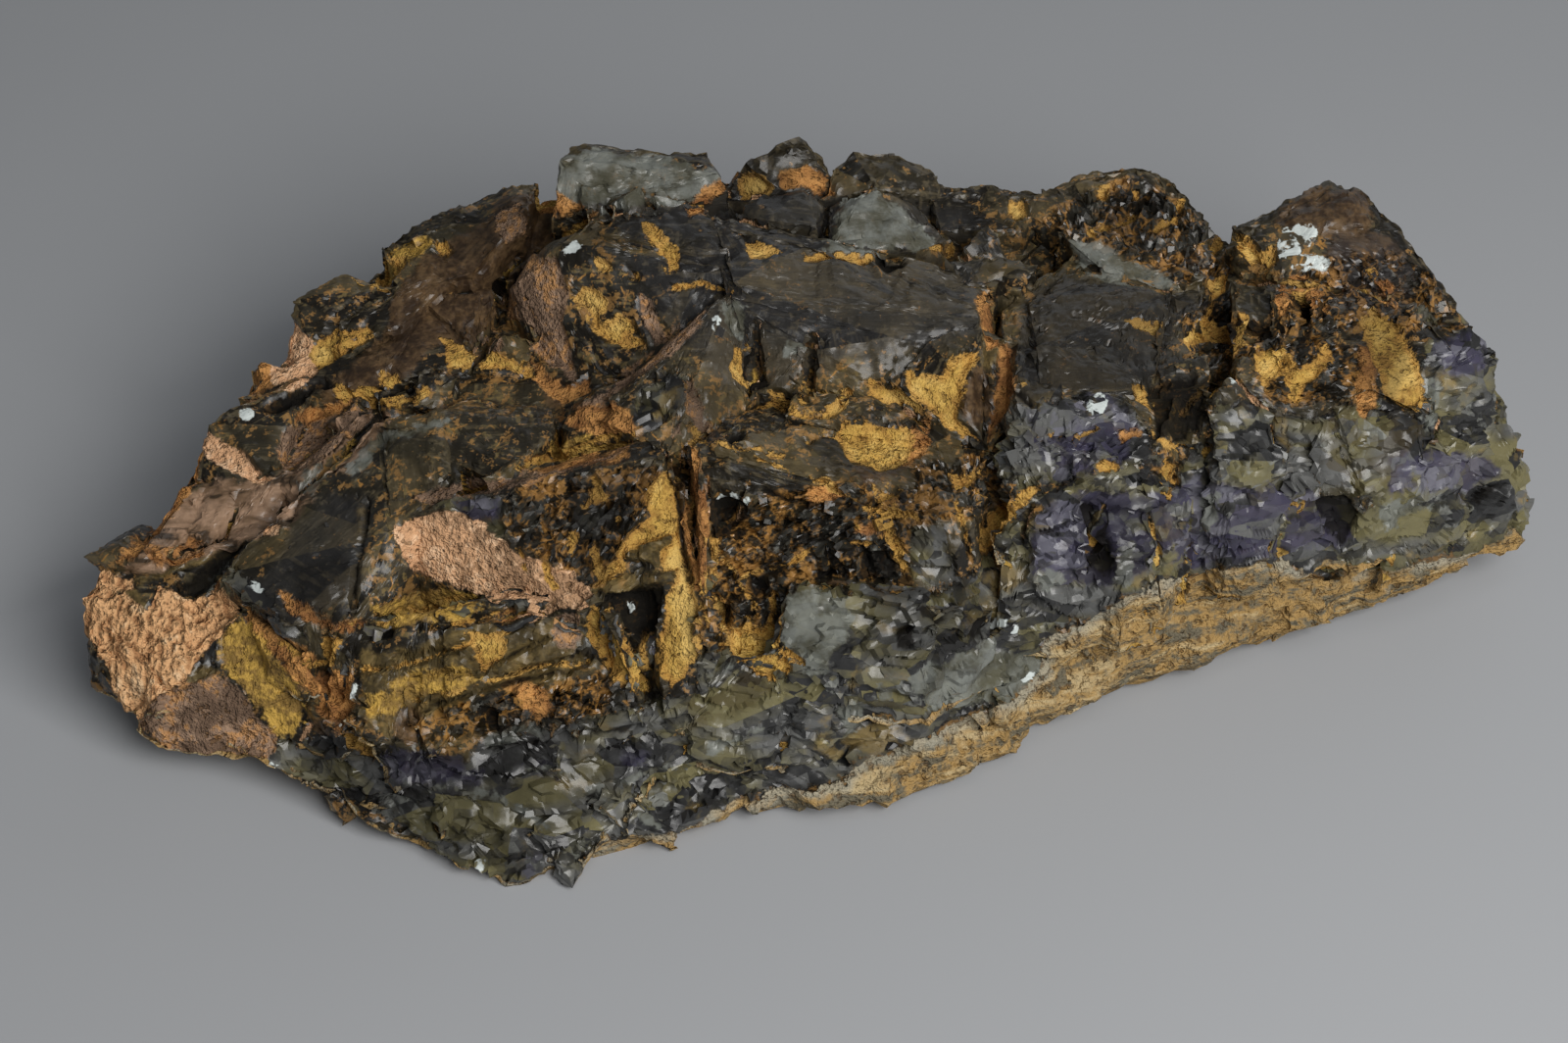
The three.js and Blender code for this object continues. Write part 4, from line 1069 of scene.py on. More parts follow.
def marked(patches=None, seams=None, wander_by=1.0):
    """How far inside a marking each spot is, in mm: negative outside, and least where it can't be seen."""
    field = np.full(len(spot), -FIELD_REACH)
    margin = FIELD_REACH * PIXELS_PER_FIELD_MM
    wavy = pixels + wander_by * pixel_wander
    jobs = [(line, 0.0, True) for line in (patches or {}).values()]
    jobs += [(line, width / 2, False) for width, line in (seams or {}).values()]
    for line, half_width, closed in jobs:
        corners = np.array(line, float)
        low, high = corners.min(0) - margin, corners.max(0) + margin
        rows = np.where(seen & (wavy >= low).all(1) & (wavy <= high).all(1))[0]
        distance = line_distance(wavy[rows], line, closed)
        if closed:
            distance = np.where(inside(wavy[rows], line), distance, -distance)
        else:
            distance = half_width - distance
        field[rows] = np.maximum(field[rows], distance / PIXELS_PER_FIELD_MM)
    return np.clip(field, -FIELD_REACH, FIELD_REACH)


def along(x, stations):
    """A value read off a line of (x, value) stations."""
    return np.interp(x, [s[0] for s in stations], [s[1] for s in stations])


def height_map(cell=1.0, reach=5):
    """How far each corner lies under the average crust around it."""
    low = spot[:, :2].min(0) - 12
    column = np.floor((spot[:, :2] - low) / cell).astype(int)
    shape = column.max(0) + 13
    top = np.full(shape, -1.0)
    np.maximum.at(top, (column[:, 0], column[:, 1]), spot[:, 2])
    known = (top >= 0).astype(float)
    top = np.where(top >= 0, top, 0)

    def blurred(grid):
        for axis in (0, 1):
            total = np.zeros_like(grid)
            for step in range(-reach, reach + 1):
                total += np.roll(grid, step, axis)
            grid = total / (2 * reach + 1)
        return grid

    average = blurred(blurred(top)) / np.maximum(blurred(blurred(known)), 1e-6)
    return average[column[:, 0], column[:, 1]] - spot[:, 2]


hollow = height_map()
pixels = front_pixels(points)
pixel_wander = np.stack([rough(spot, 3.4, 301, 2), rough(spot, 3.4, 302, 2)], 1) * 3.4
seen = in_front_view(points, normals)

# Where no marking is read off the front view, clay lies in the hollows and on the faces that look left,
# and broken banded fluorite shows on the sides under the crust, over the ochre rock skin.
BACK_BAND_TOP = [(-92, 10), (-60, 22), (-30, 30), (30, 32), (96, 30)]
BACK_SKIN_TOP = 8.0

wander = rough(spot, 9, 3)
patchy = rough(spot, 13, 61)
flat_side = smooth(0.45 - normals[:, 2], 0, 0.2)
leftward = smooth(normals @ np.array([-0.86, -0.42, 0.05]), 0.35, 0.62)
unseen_band = (along(spot[:, 0], BACK_BAND_TOP) + 4 * wander - spot[:, 2]) * flat_side - 3 * (1 - flat_side)
unseen_skin = np.maximum(BACK_SKIN_TOP + 1.8 * wander - spot[:, 2], (-normals[:, 2] - 0.55) * 8)
unseen_clay = hollow * 0.30 + 1.7 * patchy - 1.3 - 2 * smooth(unseen_band, -1, 1)
unseen_pink = leftward * 2.6 + 1.2 * patchy - 2.2 - 1.5 * smooth(unseen_band, -1, 1)
unseen_nose = np.minimum(-72 + 2 * wander - spot[:, 0], 20 - spot[:, 2] + wander)


def field(patches, seams=None, unseen=None, wander_by=1.0):
    marks = marked(patches, seams, wander_by)
    if unseen is None:
        return marks
    return np.where(seen, marks, np.clip(unseen, -FIELD_REACH, FIELD_REACH))


skin = field(SKIN_PATCHES, unseen=unseen_skin)
skin = np.where(seen & (normals[:, 2] < -0.5), FIELD_REACH, skin)
granular = np.minimum(field(GRANULAR_PATCHES, unseen=unseen_band), -skin)
nose = field(NOSE_PATCHES, unseen=unseen_nose)
ochre = field(OCHRE_PATCHES, SEAMS["ochre"], unseen_clay)
orange = field(ORANGE_PATCHES, unseen=unseen_clay - 0.9 + 0.5 * wander)
pink = field(PINK_PATCHES, unseen=unseen_pink)
slope = field(SLOPE_PATCHES)
rose = field(ROSE_PATCHES, unseen=unseen_pink - 0.5)
mustard = field(MUSTARD_PATCHES, unseen=1.5 * rough(spot, 12, 73) - 1.5)
dim = field(SHADE_AND_DARK_TONE_PATCHES, unseen=1.5 * rough(spot, 17, 75) - 1.0)
cool = field(COOL_PATCHES, unseen=1.5 * rough(spot, 18, 79) - 0.8)
olive = field(OLIVE_PATCHES, unseen=1.5 * rough(spot, 15, 71) - 1.3)
pale = field(PALE_AND_SHEEN_PATCHES, SEAMS["pale"], 1.6 * rough(spot, 11, 81) - 1.9)
violet = field(VIOLET_PATCHES, unseen=1.6 * rough(spot, 12, 91) - 0.9)
brown = field(BROWN_PATCHES, unseen=1.5 * rough(spot, 14, 95) - 1.2)
black = field(BLACK_AND_SHADE_PATCHES, SEAMS["black"], wander_by=0.6)
painted_glint = field(PAINTED_GLINT_PATCHES, wander_by=0.4)
crumbly = field(CRUMBLY_PATCHES, unseen=1.6 * rough(spot, 16, 99) - 0.9)
flap = field(FLAP_PATCHES, wander_by=0.4)
ochre = np.minimum(ochre, -1.5 * flap)
olive = np.maximum(olive, flap)

# Displacement.


def covers(mask, soft=0.35):
    """1 well inside a marking and 0 outside it."""
    return smooth(mask, -soft, soft)


def growth_steps(places, size, rise, seed):
    """Flat ledges with short risers, as growing crystal faces have."""
    level = rough(places, size, seed, 2) * 2.2
    whole = np.floor(level)
    return (whole + smooth(level - whole, 0.0, 0.22)) * rise


middle_tilt, _ = split(spot, 3.4, 404)
fine_tilt, fine_gap = split(spot, 1.9, 202)
band_tilt, _ = split(spot * np.array([0.5, 0.8, 1.2]), 4.5, 606)
bit_tilt, _ = split(spot * np.array([0.6, 0.9, 1.2]), 2.5, 707)
chip_tilt, _ = split(spot, 1.05, 505)
clay_shares = [(ochre, 1.0), (orange, 1.0), (pink, 1.0), (rose, 0.7), (mustard, 0.5)]
is_clay = np.maximum.reduce([share * covers(clay) for clay, share in clay_shares])
is_grain = covers(granular)
is_skin, is_nose, is_crumbly = covers(skin), covers(nose), covers(crumbly)
is_plain = np.clip(1 - is_grain - is_skin - is_nose - is_clay, 0, 1)
push = np.zeros(len(spot))
push += is_grain * (1.0 * band_tilt + 0.8 * bit_tilt + 0.15 * fine_tilt)
push += is_skin * (0.9 * rough(spot, 5, 31) + 0.5 * middle_tilt + 0.3 * fine_tilt)
columns = spot * np.array([1, 1, 0.22])
push += is_nose * (0.6 * rough(columns, 1.6, 41, 1) + 0.45 * rough(spot, 5, 43) + 0.2 * fine_tilt)
growth = growth_steps(spot, 7, 0.30, 51)
push += is_plain * (growth + 0.10 * rough(spot, 3.2, 55) + 0.16 * fine_tilt + 0.10 * chip_tilt)
push += is_clay * (0.22 * rough(spot, 4, 57) + 0.20 * rough(spot, 1.7, 58) - 0.3) - 0.45 * covers(ochre)
push += 0.9 * covers(flap, 0.3)
crumbs = 0.6 * middle_tilt + 0.75 * fine_tilt + 0.5 * chip_tilt - 0.5 * smooth(0.14 - fine_gap, 0, 0.14)
push += is_crumbly * (1 - 0.6 * is_clay) * crumbs
push -= 1.3 * covers(black, 0.6)
chips = 0.08 + 0.5 * smooth(rough(spot, 2.6, 65), 0.0, 0.9)
chips += 0.3 * np.abs(fine_tilt) + 0.25 * np.abs(chip_tilt)
push -= near_edge * (1 - 0.7 * is_skin) * chips
underneath = smooth(-normals[:, 2], 0.8, 0.95) * smooth(1.2 - spot[:, 2], 0, 1.2)
push *= 1 - 0.85 * underneath
push *= 1 - 0.8 * covers(painted_glint)
moved = points + normals * np.clip(push, DEEPEST, HIGHEST)[:, None]
low, high = packed_points.min(0), packed_points.max(0)
slack = (high - low) * SLACK_SHARE
moved = np.clip(moved, low - slack, high + slack)
moved[:, 2] = np.maximum(moved[:, 2], 0.0)

# The meshes.


def make_mesh(name, corners, faces, sharp_from):
    data = bpy.data.meshes.new(name)
    data.vertices.add(len(corners))
    data.vertices.foreach_set("co", (corners * MM).ravel())
    data.loops.add(faces.size)
    data.loops.foreach_set("vertex_index", faces.ravel())
    data.polygons.add(len(faces))
    data.polygons.foreach_set("loop_start", np.arange(0, faces.size, 3))
    data.update(calc_edges=True)
    data.validate()
    data.polygons.foreach_set("use_smooth", np.ones(len(data.polygons), bool))
    data.set_sharp_from_angle(angle=math.radians(sharp_from))
    piece = bpy.data.objects.new(name, data)
    bpy.context.scene.collection.objects.link(piece)
    return piece


def store(piece, name, values, domain="POINT"):
    attribute = piece.data.attributes.new(name, "FLOAT", domain)
    attribute.data.foreach_set("value", np.ascontiguousarray(values, np.float32))


def store_direction(piece, name, directions):
    attribute = piece.data.attributes.new(name, "FLOAT_VECTOR", "FACE")
    attribute.data.foreach_set("vector", np.ascontiguousarray(directions, np.float32).ravel())


FIELDS = {
    "skin": skin, "granular": granular, "nose": nose, "ochre": ochre, "orange": orange, "pink": pink,
    "slope": slope, "olive": olive, "pale": pale, "violet": violet, "brown": brown, "black": black,
    "painted_glint": painted_glint, "rose": rose, "mustard": mustard, "dim": dim, "cool": cool, "crumbly": crumbly,
    "hollow": hollow, "edge_nearness": near_edge,
}
face_tone = hashed(np.round(packed_normals * 6 + (packed_points[packed_triangles].mean(1) / 14).round()), 77)
REGIONS = ["left_end", "left_crystals", "right_crystals", "right_end"]


def skin_pieces():
    """The skin, shaded as one and then parted from left to right into pieces of about the same count."""
    whole = make_mesh("whole_skin", moved, triangles, SHARP_FROM)
    shading = np.empty(triangles.size * 3)
    whole.data.corner_normals.foreach_get("vector", shading)
    shading = shading.reshape(-1, 3, 3)
    middle = packed_points[packed_triangles].mean(1)[:, 0]
    order = np.argsort(middle)
    count = np.bincount(source, minlength=len(packed_triangles))[order].cumsum()
    region = np.empty(len(order), int)
    region[order] = np.minimum(count * len(REGIONS) // (len(triangles) + 1), len(REGIONS) - 1)
    pieces = []
    for number, name in enumerate(REGIONS):
        rows = np.where(region[source] == number)[0]
        used, local = np.unique(triangles[rows], return_inverse=True)
        piece = make_mesh(name, moved[used], local.reshape(-1, 3), 180)
        piece.data.normals_split_custom_set(shading[rows].reshape(-1, 3))
        for field_name, values in FIELDS.items():
            store(piece, field_name, values[used])
        store(piece, "tone", face_tone[source[rows]], "FACE")
        store_direction(piece, "run", face_runs[source[rows]])
        pieces.append(piece)
    whole_data = whole.data
    bpy.data.objects.remove(whole)
    bpy.data.meshes.remove(whole_data)
    return pieces


specimen = skin_pieces()

# Small broken crystals.

CUBE = np.array([[x, y, z] for x in (-0.5, 0.5) for y in (-0.5, 0.5) for z in (-0.5, 0.5)])
CUBE_FACES = np.array([
    [0, 1, 3], [0, 3, 2], [4, 6, 7], [4, 7, 5], [0, 4, 5], [0, 5, 1],
    [2, 3, 7], [2, 7, 6], [0, 2, 6], [0, 6, 4], [1, 5, 7], [1, 7, 3],
])
dice = np.random.default_rng(4071)


def scattered(count, weight, small, large, lean, sunk, loose):
    """Small broken cubes set into the skin where the weight is high. Each leans by up to an angle, turns
    freely if it is loose, and otherwise lines up with the crystal that it sits on."""
    area = face_normals(moved, triangles)[1]
    chance = area * weight[triangles].mean(1)
    pick = dice.choice(len(triangles), count, p=chance / chance.sum())
    mix = dice.dirichlet((1, 1, 1), count)
    site = (moved[triangles[pick]] * mix[:, :, None]).sum(1)
    out = packed_normals[source[pick]]
    run = face_runs[source[pick]]
    run = run - out * (run * out).sum(1, keepdims=True)
    flat = np.linalg.norm(run, axis=1) < 0.2
    run[flat] = np.cross(out[flat], np.array([0.31, 0.52, 0.8]))
    run /= np.linalg.norm(run, axis=1, keepdims=True)
    side = np.cross(out, run)
    turn = dice.uniform(0, math.pi, count)[:, None] * loose
    run, side = run * np.cos(turn) + side * np.sin(turn), side * np.cos(turn) - run * np.sin(turn)
    out = out + run * dice.normal(0, lean, count)[:, None] + side * dice.normal(0, lean, count)[:, None]
    out /= np.linalg.norm(out, axis=1, keepdims=True)
    run = run - out * (run * out).sum(1, keepdims=True)
    run /= np.linalg.norm(run, axis=1, keepdims=True)
    side = np.cross(out, run)
    size = small + (large - small) * dice.power(0.5, count) ** 1.6
    wide, long_ = dice.uniform(0.6, 1.3, count), dice.uniform(0.7, 1.7, count)
    corners = CUBE[None] * (1 + dice.uniform(-0.28, 0.28, (count, 8, 3)))
    corners = corners * np.stack([long_, wide, np.ones(count)], 1)[:, None] * size[:, None, None]
    placed = sum(corners[..., i : i + 1] * axis[:, None] for i, axis in enumerate((run, side, out)))
    placed += (site - out * size[:, None] * sunk)[:, None]
    return placed.reshape(-1, 3), pick


on_band = is_grain * (1 - underneath) + 0.02
on_crumbs = is_crumbly * (1 - is_clay) + 0.001
on_edges = (near_edge > 0.3) * is_plain + 0.001
grain_kinds = [
    scattered(count=250, weight=on_band, small=0.5, large=1.4, lean=0.4, sunk=0.36, loose=1.0),
    scattered(count=900, weight=on_crumbs, small=0.4, large=1.1, lean=0.45, sunk=0.30, loose=1.0),
    scattered(count=500, weight=on_edges, small=0.4, large=0.9, lean=0.12, sunk=0.36, loose=0.0),
]
grain_corners, grain_pick = (np.concatenate(part) for part in zip(*grain_kinds))
grain_count = len(grain_pick)
grain_sites = triangles[grain_pick, 0]
grain_faces = (CUBE_FACES[None] + np.arange(grain_count)[:, None, None] * 8).reshape(-1, 3)
grain_corners = np.clip(grain_corners, low - slack, high + slack)
grain_corners[:, 2] = np.maximum(grain_corners[:, 2], 0.0)
grains = make_mesh("specimen_grains", grain_corners, grain_faces, GRAIN_SHARP_FROM)
for name, values in FIELDS.items():
    store(grains, name, np.repeat(values[grain_sites], 8))
store(grains, "tone", np.repeat(dice.uniform(0, 1, grain_count), 12), "FACE")
store_direction(grains, "run", np.repeat(face_runs[source[grain_pick]], 12, 0))

# Shader building.


class Value:
    """One socket of a shader, with arithmetic."""

    def __init__(self, tree, socket):
        self.tree = tree
        self.socket = socket

    def math(self, operation, *others):
        node = self.tree.nodes.new("ShaderNodeMath")
        node.operation = operation
        for socket, value in zip(node.inputs, (self, *others)):
            connect(self.tree, socket, value)
        return Value(self.tree, node.outputs[0])

    def __add__(self, other):
        return self.math("ADD", other)

    def __sub__(self, other):
        return self.math("SUBTRACT", other)

    def __rsub__(self, other):
        return (self * -1) + other

    def __mul__(self, other):
        return self.math("MULTIPLY", other)

    __radd__ = __add__
    __rmul__ = __mul__

    def or_more(self, *others):
        """The largest of this value and the others."""
        largest = self
        for other in others:
            largest = largest.math("MAXIMUM", other)
        return largest

    def output(self, name):
        """Another output of the same node."""
        return Value(self.tree, self.socket.node.outputs[name])


def connect(tree, socket, value):
    if isinstance(value, Value):
        tree.links.new(value.socket, socket)
    elif isinstance(value, tuple) and len(value) == 3 and socket.type == "RGBA":
        socket.default_value = (*value, 1)
    else:
        socket.default_value = value


class Shader:
    """A material's node tree, built by short calls."""

    def __init__(self, name):
        self.material = bpy.data.materials.new(name)
        self.material.use_nodes = True
        self.tree = self.material.node_tree
        self.surface = self.tree.nodes["Principled BSDF"]

    def finish(self, **sockets):
        """Fills the surface's own sockets, an underscore for each space in a name."""
        for name, value in sockets.items():
            connect(self.tree, self.surface.inputs[name.replace("_", " ")], value)

    def node(self, kind, sockets, output=0, settings=None):
        """Any node: its settings first, and then a value or a link for each socket."""
        node = self.tree.nodes.new(kind)
        for name, value in (settings or {}).items():
            setattr(node, name, value)
        for socket, value in sockets.items():
            connect(self.tree, node.inputs[socket], value)
        return Value(self.tree, node.outputs[output])

    def attribute(self, name, output="Fac"):
        return self.node("ShaderNodeAttribute", {}, output, {"attribute_name": name})

    def place(self):
        return self.node("ShaderNodeTexCoord", {}, "Object")

    def stretched(self, scale, turn=(0, 0, 0)):
        return self.node("ShaderNodeMapping", {"Vector": self.place(), "Scale": scale, "Rotation": turn})

    def noise(self, scale, detail, roughness=0.5, distortion=0.0, vector=None, output=0):
        sockets = {"Scale": scale, "Detail": detail, "Roughness": roughness, "Distortion": distortion}
        return self.node("ShaderNodeTexNoise", {"Vector": vector or self.place(), **sockets}, output)

    def ramp(self, value, low, high):
        sockets = {"Value": value, "From Min": low, "From Max": high}
        return self.node("ShaderNodeMapRange", sockets, settings={"interpolation_type": "SMOOTHSTEP"})

    def blend(self, factor, first, second):
        return self.node("ShaderNodeMix", {0: factor, 6: first, 7: second}, 2, {"data_type": "RGBA"})

    def vector_math(self, operation, first, second, output=0):
        return self.node("ShaderNodeVectorMath", {0: first, 1: second}, output, {"operation": operation})

    def grains(self, scale, stretch, turn):
        """Height of tilted flats, one to a grain, and the grain's own random red, green and blue."""
        scaled = self.stretched(tuple(scale * part for part in stretch), turn)
        colour = self.node("ShaderNodeTexVoronoi", {"Vector": scaled, "Scale": 1}, "Color")
        slope = self.vector_math("SUBTRACT", colour, (0.5, 0.5, 0.5))
        away = self.vector_math("SUBTRACT", scaled, colour.output("Position"))
        height = self.vector_math("DOT_PRODUCT", away, slope, "Value")
        red = self.node("ShaderNodeSeparateColor", {0: colour})
        return height * (1 / scale), [red, red.output(1), red.output(2)]

    def along_run(self, squeeze):
        """Places drawn out along the longest edge of the crystal face that they lie on."""
        run = self.attribute("run", "Vector")
        distance = self.vector_math("DOT_PRODUCT", self.place(), run, "Value")
        shift = self.vector_math("MULTIPLY", run, distance * squeeze)
        return self.vector_math("SUBTRACT", self.place(), shift)

    def cracks(self, scale, wander):
        """How far, in cells, each place is from the nearest line of an uneven net."""
        wave = self.noise(scale * 1.2, 2, output="Color")
        shift = self.vector_math("SUBTRACT", wave, (0.5, 0.5, 0.5))
        shift = self.vector_math("MULTIPLY", shift, (wander, wander, wander))
        bent = self.vector_math("ADD", self.stretched((scale, scale, scale)), shift)
        settings = {"feature": "DISTANCE_TO_EDGE"}
        return self.node("ShaderNodeTexVoronoi", {"Vector": bent, "Scale": 1}, "Distance", settings)

    def bump(self, height, strength):
        return self.node("ShaderNodeBump", {"Height": height, "Strength": strength, "Distance": 1.0})


# Colours of the rock.

# Near black, used for painted shade in hollows, holes and cracks, and also for the darkest crumbs and the
# band's edge by the crust.
SHADE_BLACK = (0.004, 0.003, 0.002)
NEAR_BLACK = (0.012, 0.010, 0.007)
DARK_OLIVE = (0.040, 0.033, 0.018)
DARK_GREY = (0.044, 0.043, 0.036)
COOL_GREY = (0.034, 0.034, 0.036)
SPECK = (0.125, 0.10, 0.058)
OLIVE_FILM = (0.18, 0.125, 0.045)
OLIVE_DUST = (0.19, 0.135, 0.048)
DEEP_OLIVE = (0.058, 0.042, 0.017)
RED_BROWN = (0.038, 0.022, 0.012)
MID_BROWN = (0.125, 0.075, 0.036)
SLOPE_BROWN = (0.15, 0.092, 0.052)
SLOPE_PINK = (0.34, 0.218, 0.140)
OCHRE = (0.55, 0.345, 0.082)
PALE_OCHRE = (0.68, 0.46, 0.145)
DEEP_OCHRE = (0.30, 0.165, 0.040)
RUST = (0.42, 0.21, 0.052)
DUSTY_RUST = (0.31, 0.17, 0.056)
PIT_SHADE_BROWN = (0.11, 0.055, 0.018)
ORANGE_CLAY = (0.58, 0.285, 0.090)
DEEP_ORANGE = (0.25, 0.108, 0.036)
PINK_CLAY = (0.64, 0.365, 0.195)
PALE_PINK = (0.82, 0.54, 0.33)
GREY_PINK = (0.38, 0.225, 0.125)
ROSE = (0.145, 0.092, 0.060)
ROSE_PALE = (0.32, 0.21, 0.140)
MUSTARD = (0.58, 0.36, 0.075)
DEEP_MUSTARD = (0.24, 0.145, 0.038)
NOSE_CLAY = (0.70, 0.40, 0.192)
NOSE_PALE = (0.78, 0.53, 0.305)
DEEP_NOSE = (0.40, 0.20, 0.088)
PALE_FACE_AND_SHEEN = (0.19, 0.20, 0.18)
PALE_GREEN = (0.080, 0.078, 0.055)
BAND_DARK = (0.028, 0.028, 0.028)
BAND_GREY = (0.115, 0.116, 0.112)
BAND_GREEN = (0.155, 0.138, 0.068)
BAND_PALE = (0.215, 0.22, 0.20)
AMBER = (0.27, 0.19, 0.065)
VIOLET = (0.040, 0.037, 0.062)
DEEP_VIOLET = (0.050, 0.045, 0.084)
LILAC = (0.155, 0.152, 0.185)
SKIN_OCHRE = (0.37, 0.235, 0.088)
SKIN_PALE = (0.49, 0.39, 0.220)
SKIN_GREY = (0.15, 0.130, 0.088)
SKIN_RIM = (0.34, 0.32, 0.25)
PAINTED_GLINT_WHITE = (0.60, 0.65, 0.63)
SHEET_GREY = (0.36, 0.37, 0.385)

# How ragged each marking's edge is, and how far in mm it fades to either side.
MASK_EDGES = {
    "skin": (1.2, 0.14),
    "granular": (1.8, 0.3),
    "nose": (0.8, 0.14),
    "ochre": (1.0, 0.14),
    "orange": (1.2, 0.3),
    "pink": (0.8, 0.14),
    "olive": (1.2, 0.5),
    "slope": (1.2, 0.4),
    "pale": (1.5, 0.3),
    "violet": (1.2, 0.5),
    "brown": (1.2, 0.5),
    "black": (0.7, 0.25),
    "rose": (0.9, 0.25),
    "mustard": (1.3, 0.35),
    "dim": (1.0, 0.8),
    "cool": (1.2, 1.0),
    "painted_glint": (0.9, 0.1),
    "crumbly": (1.2, 0.5),
}
LAYER_TURN = (0.0, -0.42, 0.12)  # how the layers of the banded fluorite are tilted, in radians
STREAK_TURN = (0.1, 0.5, 0.75)


class RockShader(Shader):
    """The rock's material, with the noises and markings that its finishes share."""

    def __init__(self):
        super().__init__("fluorite_rock")
        self.mottle = self.noise(230, 4, 0.62)
        self.patches = self.noise(85, 3, 0.6, 0.6)
        self.specks = self.noise(900, 2, 0.65)
        self.fibre = self.noise(1000, 2, 0.6, vector=self.along_run(0.92))
        self.streak = self.noise(1.0, 3, 0.6, vector=self.stretched((90, 420, 420), STREAK_TURN))
        self.columns = self.noise(1.0, 1, 0.5, vector=self.stretched((900, 900, 120)))
        self.pits = self.ramp(self.noise(850, 2, 0.7), 0.42, 0.34)
        self.facets, self.grain = self.grains(220, (0.6, 0.85, 1.2), LAYER_TURN)
        self.small_facets, self.small_grain = self.grains(680, (0.7, 1, 1.1), LAYER_TURN)
        self.hollow = self.attribute("hollow")
        self.ragged = (self.mottle - 0.5) * 2.4 + (self.specks - 0.5) * 1.3
        self.marks = {name: self.mark(name, *edge) for name, edge in MASK_EDGES.items()}

    def mark(self, name, raggedness, edge):
        return self.ramp(self.attribute(name) + self.ragged * raggedness, -edge, edge)


# Finishes of the dark crystal.


def dark_crystal(s):
    """Near black, olive or grey by face, with pale specks, dust, a film of clay in the seams and painted
    shade in the hollows.
    """
    mottle, patches, specks, hollow = s.mottle, s.patches, s.specks, s.hollow
    is_cool = s.marks["cool"]
    tone = s.attribute("tone")
    dark = s.blend(s.ramp(tone * 0.7 + mottle * 0.8, 0.50, 1.2), NEAR_BLACK, DARK_OLIVE)
    dark = s.blend(s.ramp(patches + (tone - 0.5) * 0.12, 0.5, 0.68) * 0.7, dark, DARK_GREY)
    dark = s.blend(s.ramp(s.fibre, 0.55, 0.68) * 0.45, dark, SPECK)
    dark = s.blend(s.ramp(specks * 0.6 + mottle * 0.5, 0.60, 0.68) * 0.5, dark, SPECK)
    # Paler towards the crystal edges: partly chipped wear, partly a painted edge highlight.
    dark = s.blend(s.ramp(s.attribute("edge_nearness") + (specks - 0.5) * 1.6, 0.7, 1.0) * 0.35, dark, SPECK)
    dark = s.blend(s.ramp(patches * 0.7 + tone * 0.3, 0.52, 0.72) * 0.35, dark, OLIVE_FILM)
    dust = s.ramp(s.fibre * 0.5 + specks * 0.5, 0.55, 0.61) * s.ramp(patches + hollow * 0.015, 0.46, 0.60)
    dark = s.blend(dust * (0.6 - is_cool * 0.35), dark, OLIVE_DUST)
    veins = s.ramp(s.cracks(170, 0.6), 0.030, 0.006) * s.ramp(specks, 0.46, 0.54)
    film = s.ramp(patches * 0.6 + hollow * 0.010 + mottle * 0.4 - is_cool * 0.05, 0.50, 0.58)
    dark = s.blend(veins * film * 0.85, dark, RUST)
    crust = s.noise(600, 3, 0.75) + hollow * 0.010 + patches * 0.35 - is_cool * 0.07
    dark = s.blend(s.ramp(crust, 0.735, 0.81) * 0.75, dark, DUSTY_RUST)
    # Painted shade: darker the deeper a spot lies below the crust around it.
    return s.blend(s.ramp(hollow, 1.0, 5.0) * 0.35, dark, SHADE_BLACK)


def olive_crystal(s):
    return s.blend(s.ramp(s.mottle * 0.7 + s.specks * 0.4, 0.46, 0.68), DEEP_OLIVE, OLIVE_FILM)


def streaked_slope(s):
    slope = s.blend(s.ramp(s.streak * 0.7 + s.mottle * 0.3, 0.42, 0.6), SLOPE_BROWN, SLOPE_PINK)
    return s.blend(s.ramp(s.streak, 0.46, 0.40) * 0.7, slope, NEAR_BLACK)


def brown_crystal(s):
    return s.blend(s.ramp(s.mottle * 0.6 + s.specks * 0.4, 0.42, 0.62), RED_BROWN, MID_BROWN)


def crumbled_crystal(s):
    """Black crumbs with pale flakes, in an uneven net of rust."""
    mottle, specks = s.mottle, s.specks
    crumb = s.blend(s.ramp(s.small_grain[0] * 0.7 + mottle * 0.5, 0.5, 0.95), SHADE_BLACK, DARK_GREY)
    crumb = s.blend(s.ramp(s.small_grain[2] * 0.6 + specks * 0.6, 0.84, 0.94) * 0.8, crumb, BAND_PALE)
    crumb = s.blend(s.ramp(mottle * 0.6 + specks * 0.4, 0.50, 0.58) * 0.8, crumb, RUST)
    net = s.ramp(s.cracks(300, 1.0), 0.07, 0.015) * s.ramp(mottle * 0.5 + s.patches * 0.5, 0.42, 0.54)
    return s.blend(net * 0.9, crumb, RUST)


def crystal_crust(s):
    """The dark crystals of the crust, with the parts that are olive, brown, streaked or crumbled."""
    crust = s.blend(s.marks["olive"] * 0.85, dark_crystal(s), olive_crystal(s))
    crust = s.blend(s.marks["slope"], crust, streaked_slope(s))
    crust = s.blend(s.marks["brown"] * 0.9, crust, brown_crystal(s))
    crust = s.blend(s.marks["crumbly"] * 0.75, crust, crumbled_crystal(s))
    return s.blend(s.marks["cool"] * 0.45, crust, COOL_GREY)


# Finishes of the banded fluorite.


def violet_fluorite(s):
    mixed = s.grain[2] * 0.6 + s.small_grain[0] * 0.3 + s.mottle * 0.3
    violet = s.blend(s.ramp(mixed, 0.55, 0.95), VIOLET, LILAC)
    return s.blend(s.ramp(s.small_grain[1] * 0.7 + s.mottle * 0.5, 0.72, 0.86) * 0.8, violet, DEEP_VIOLET)


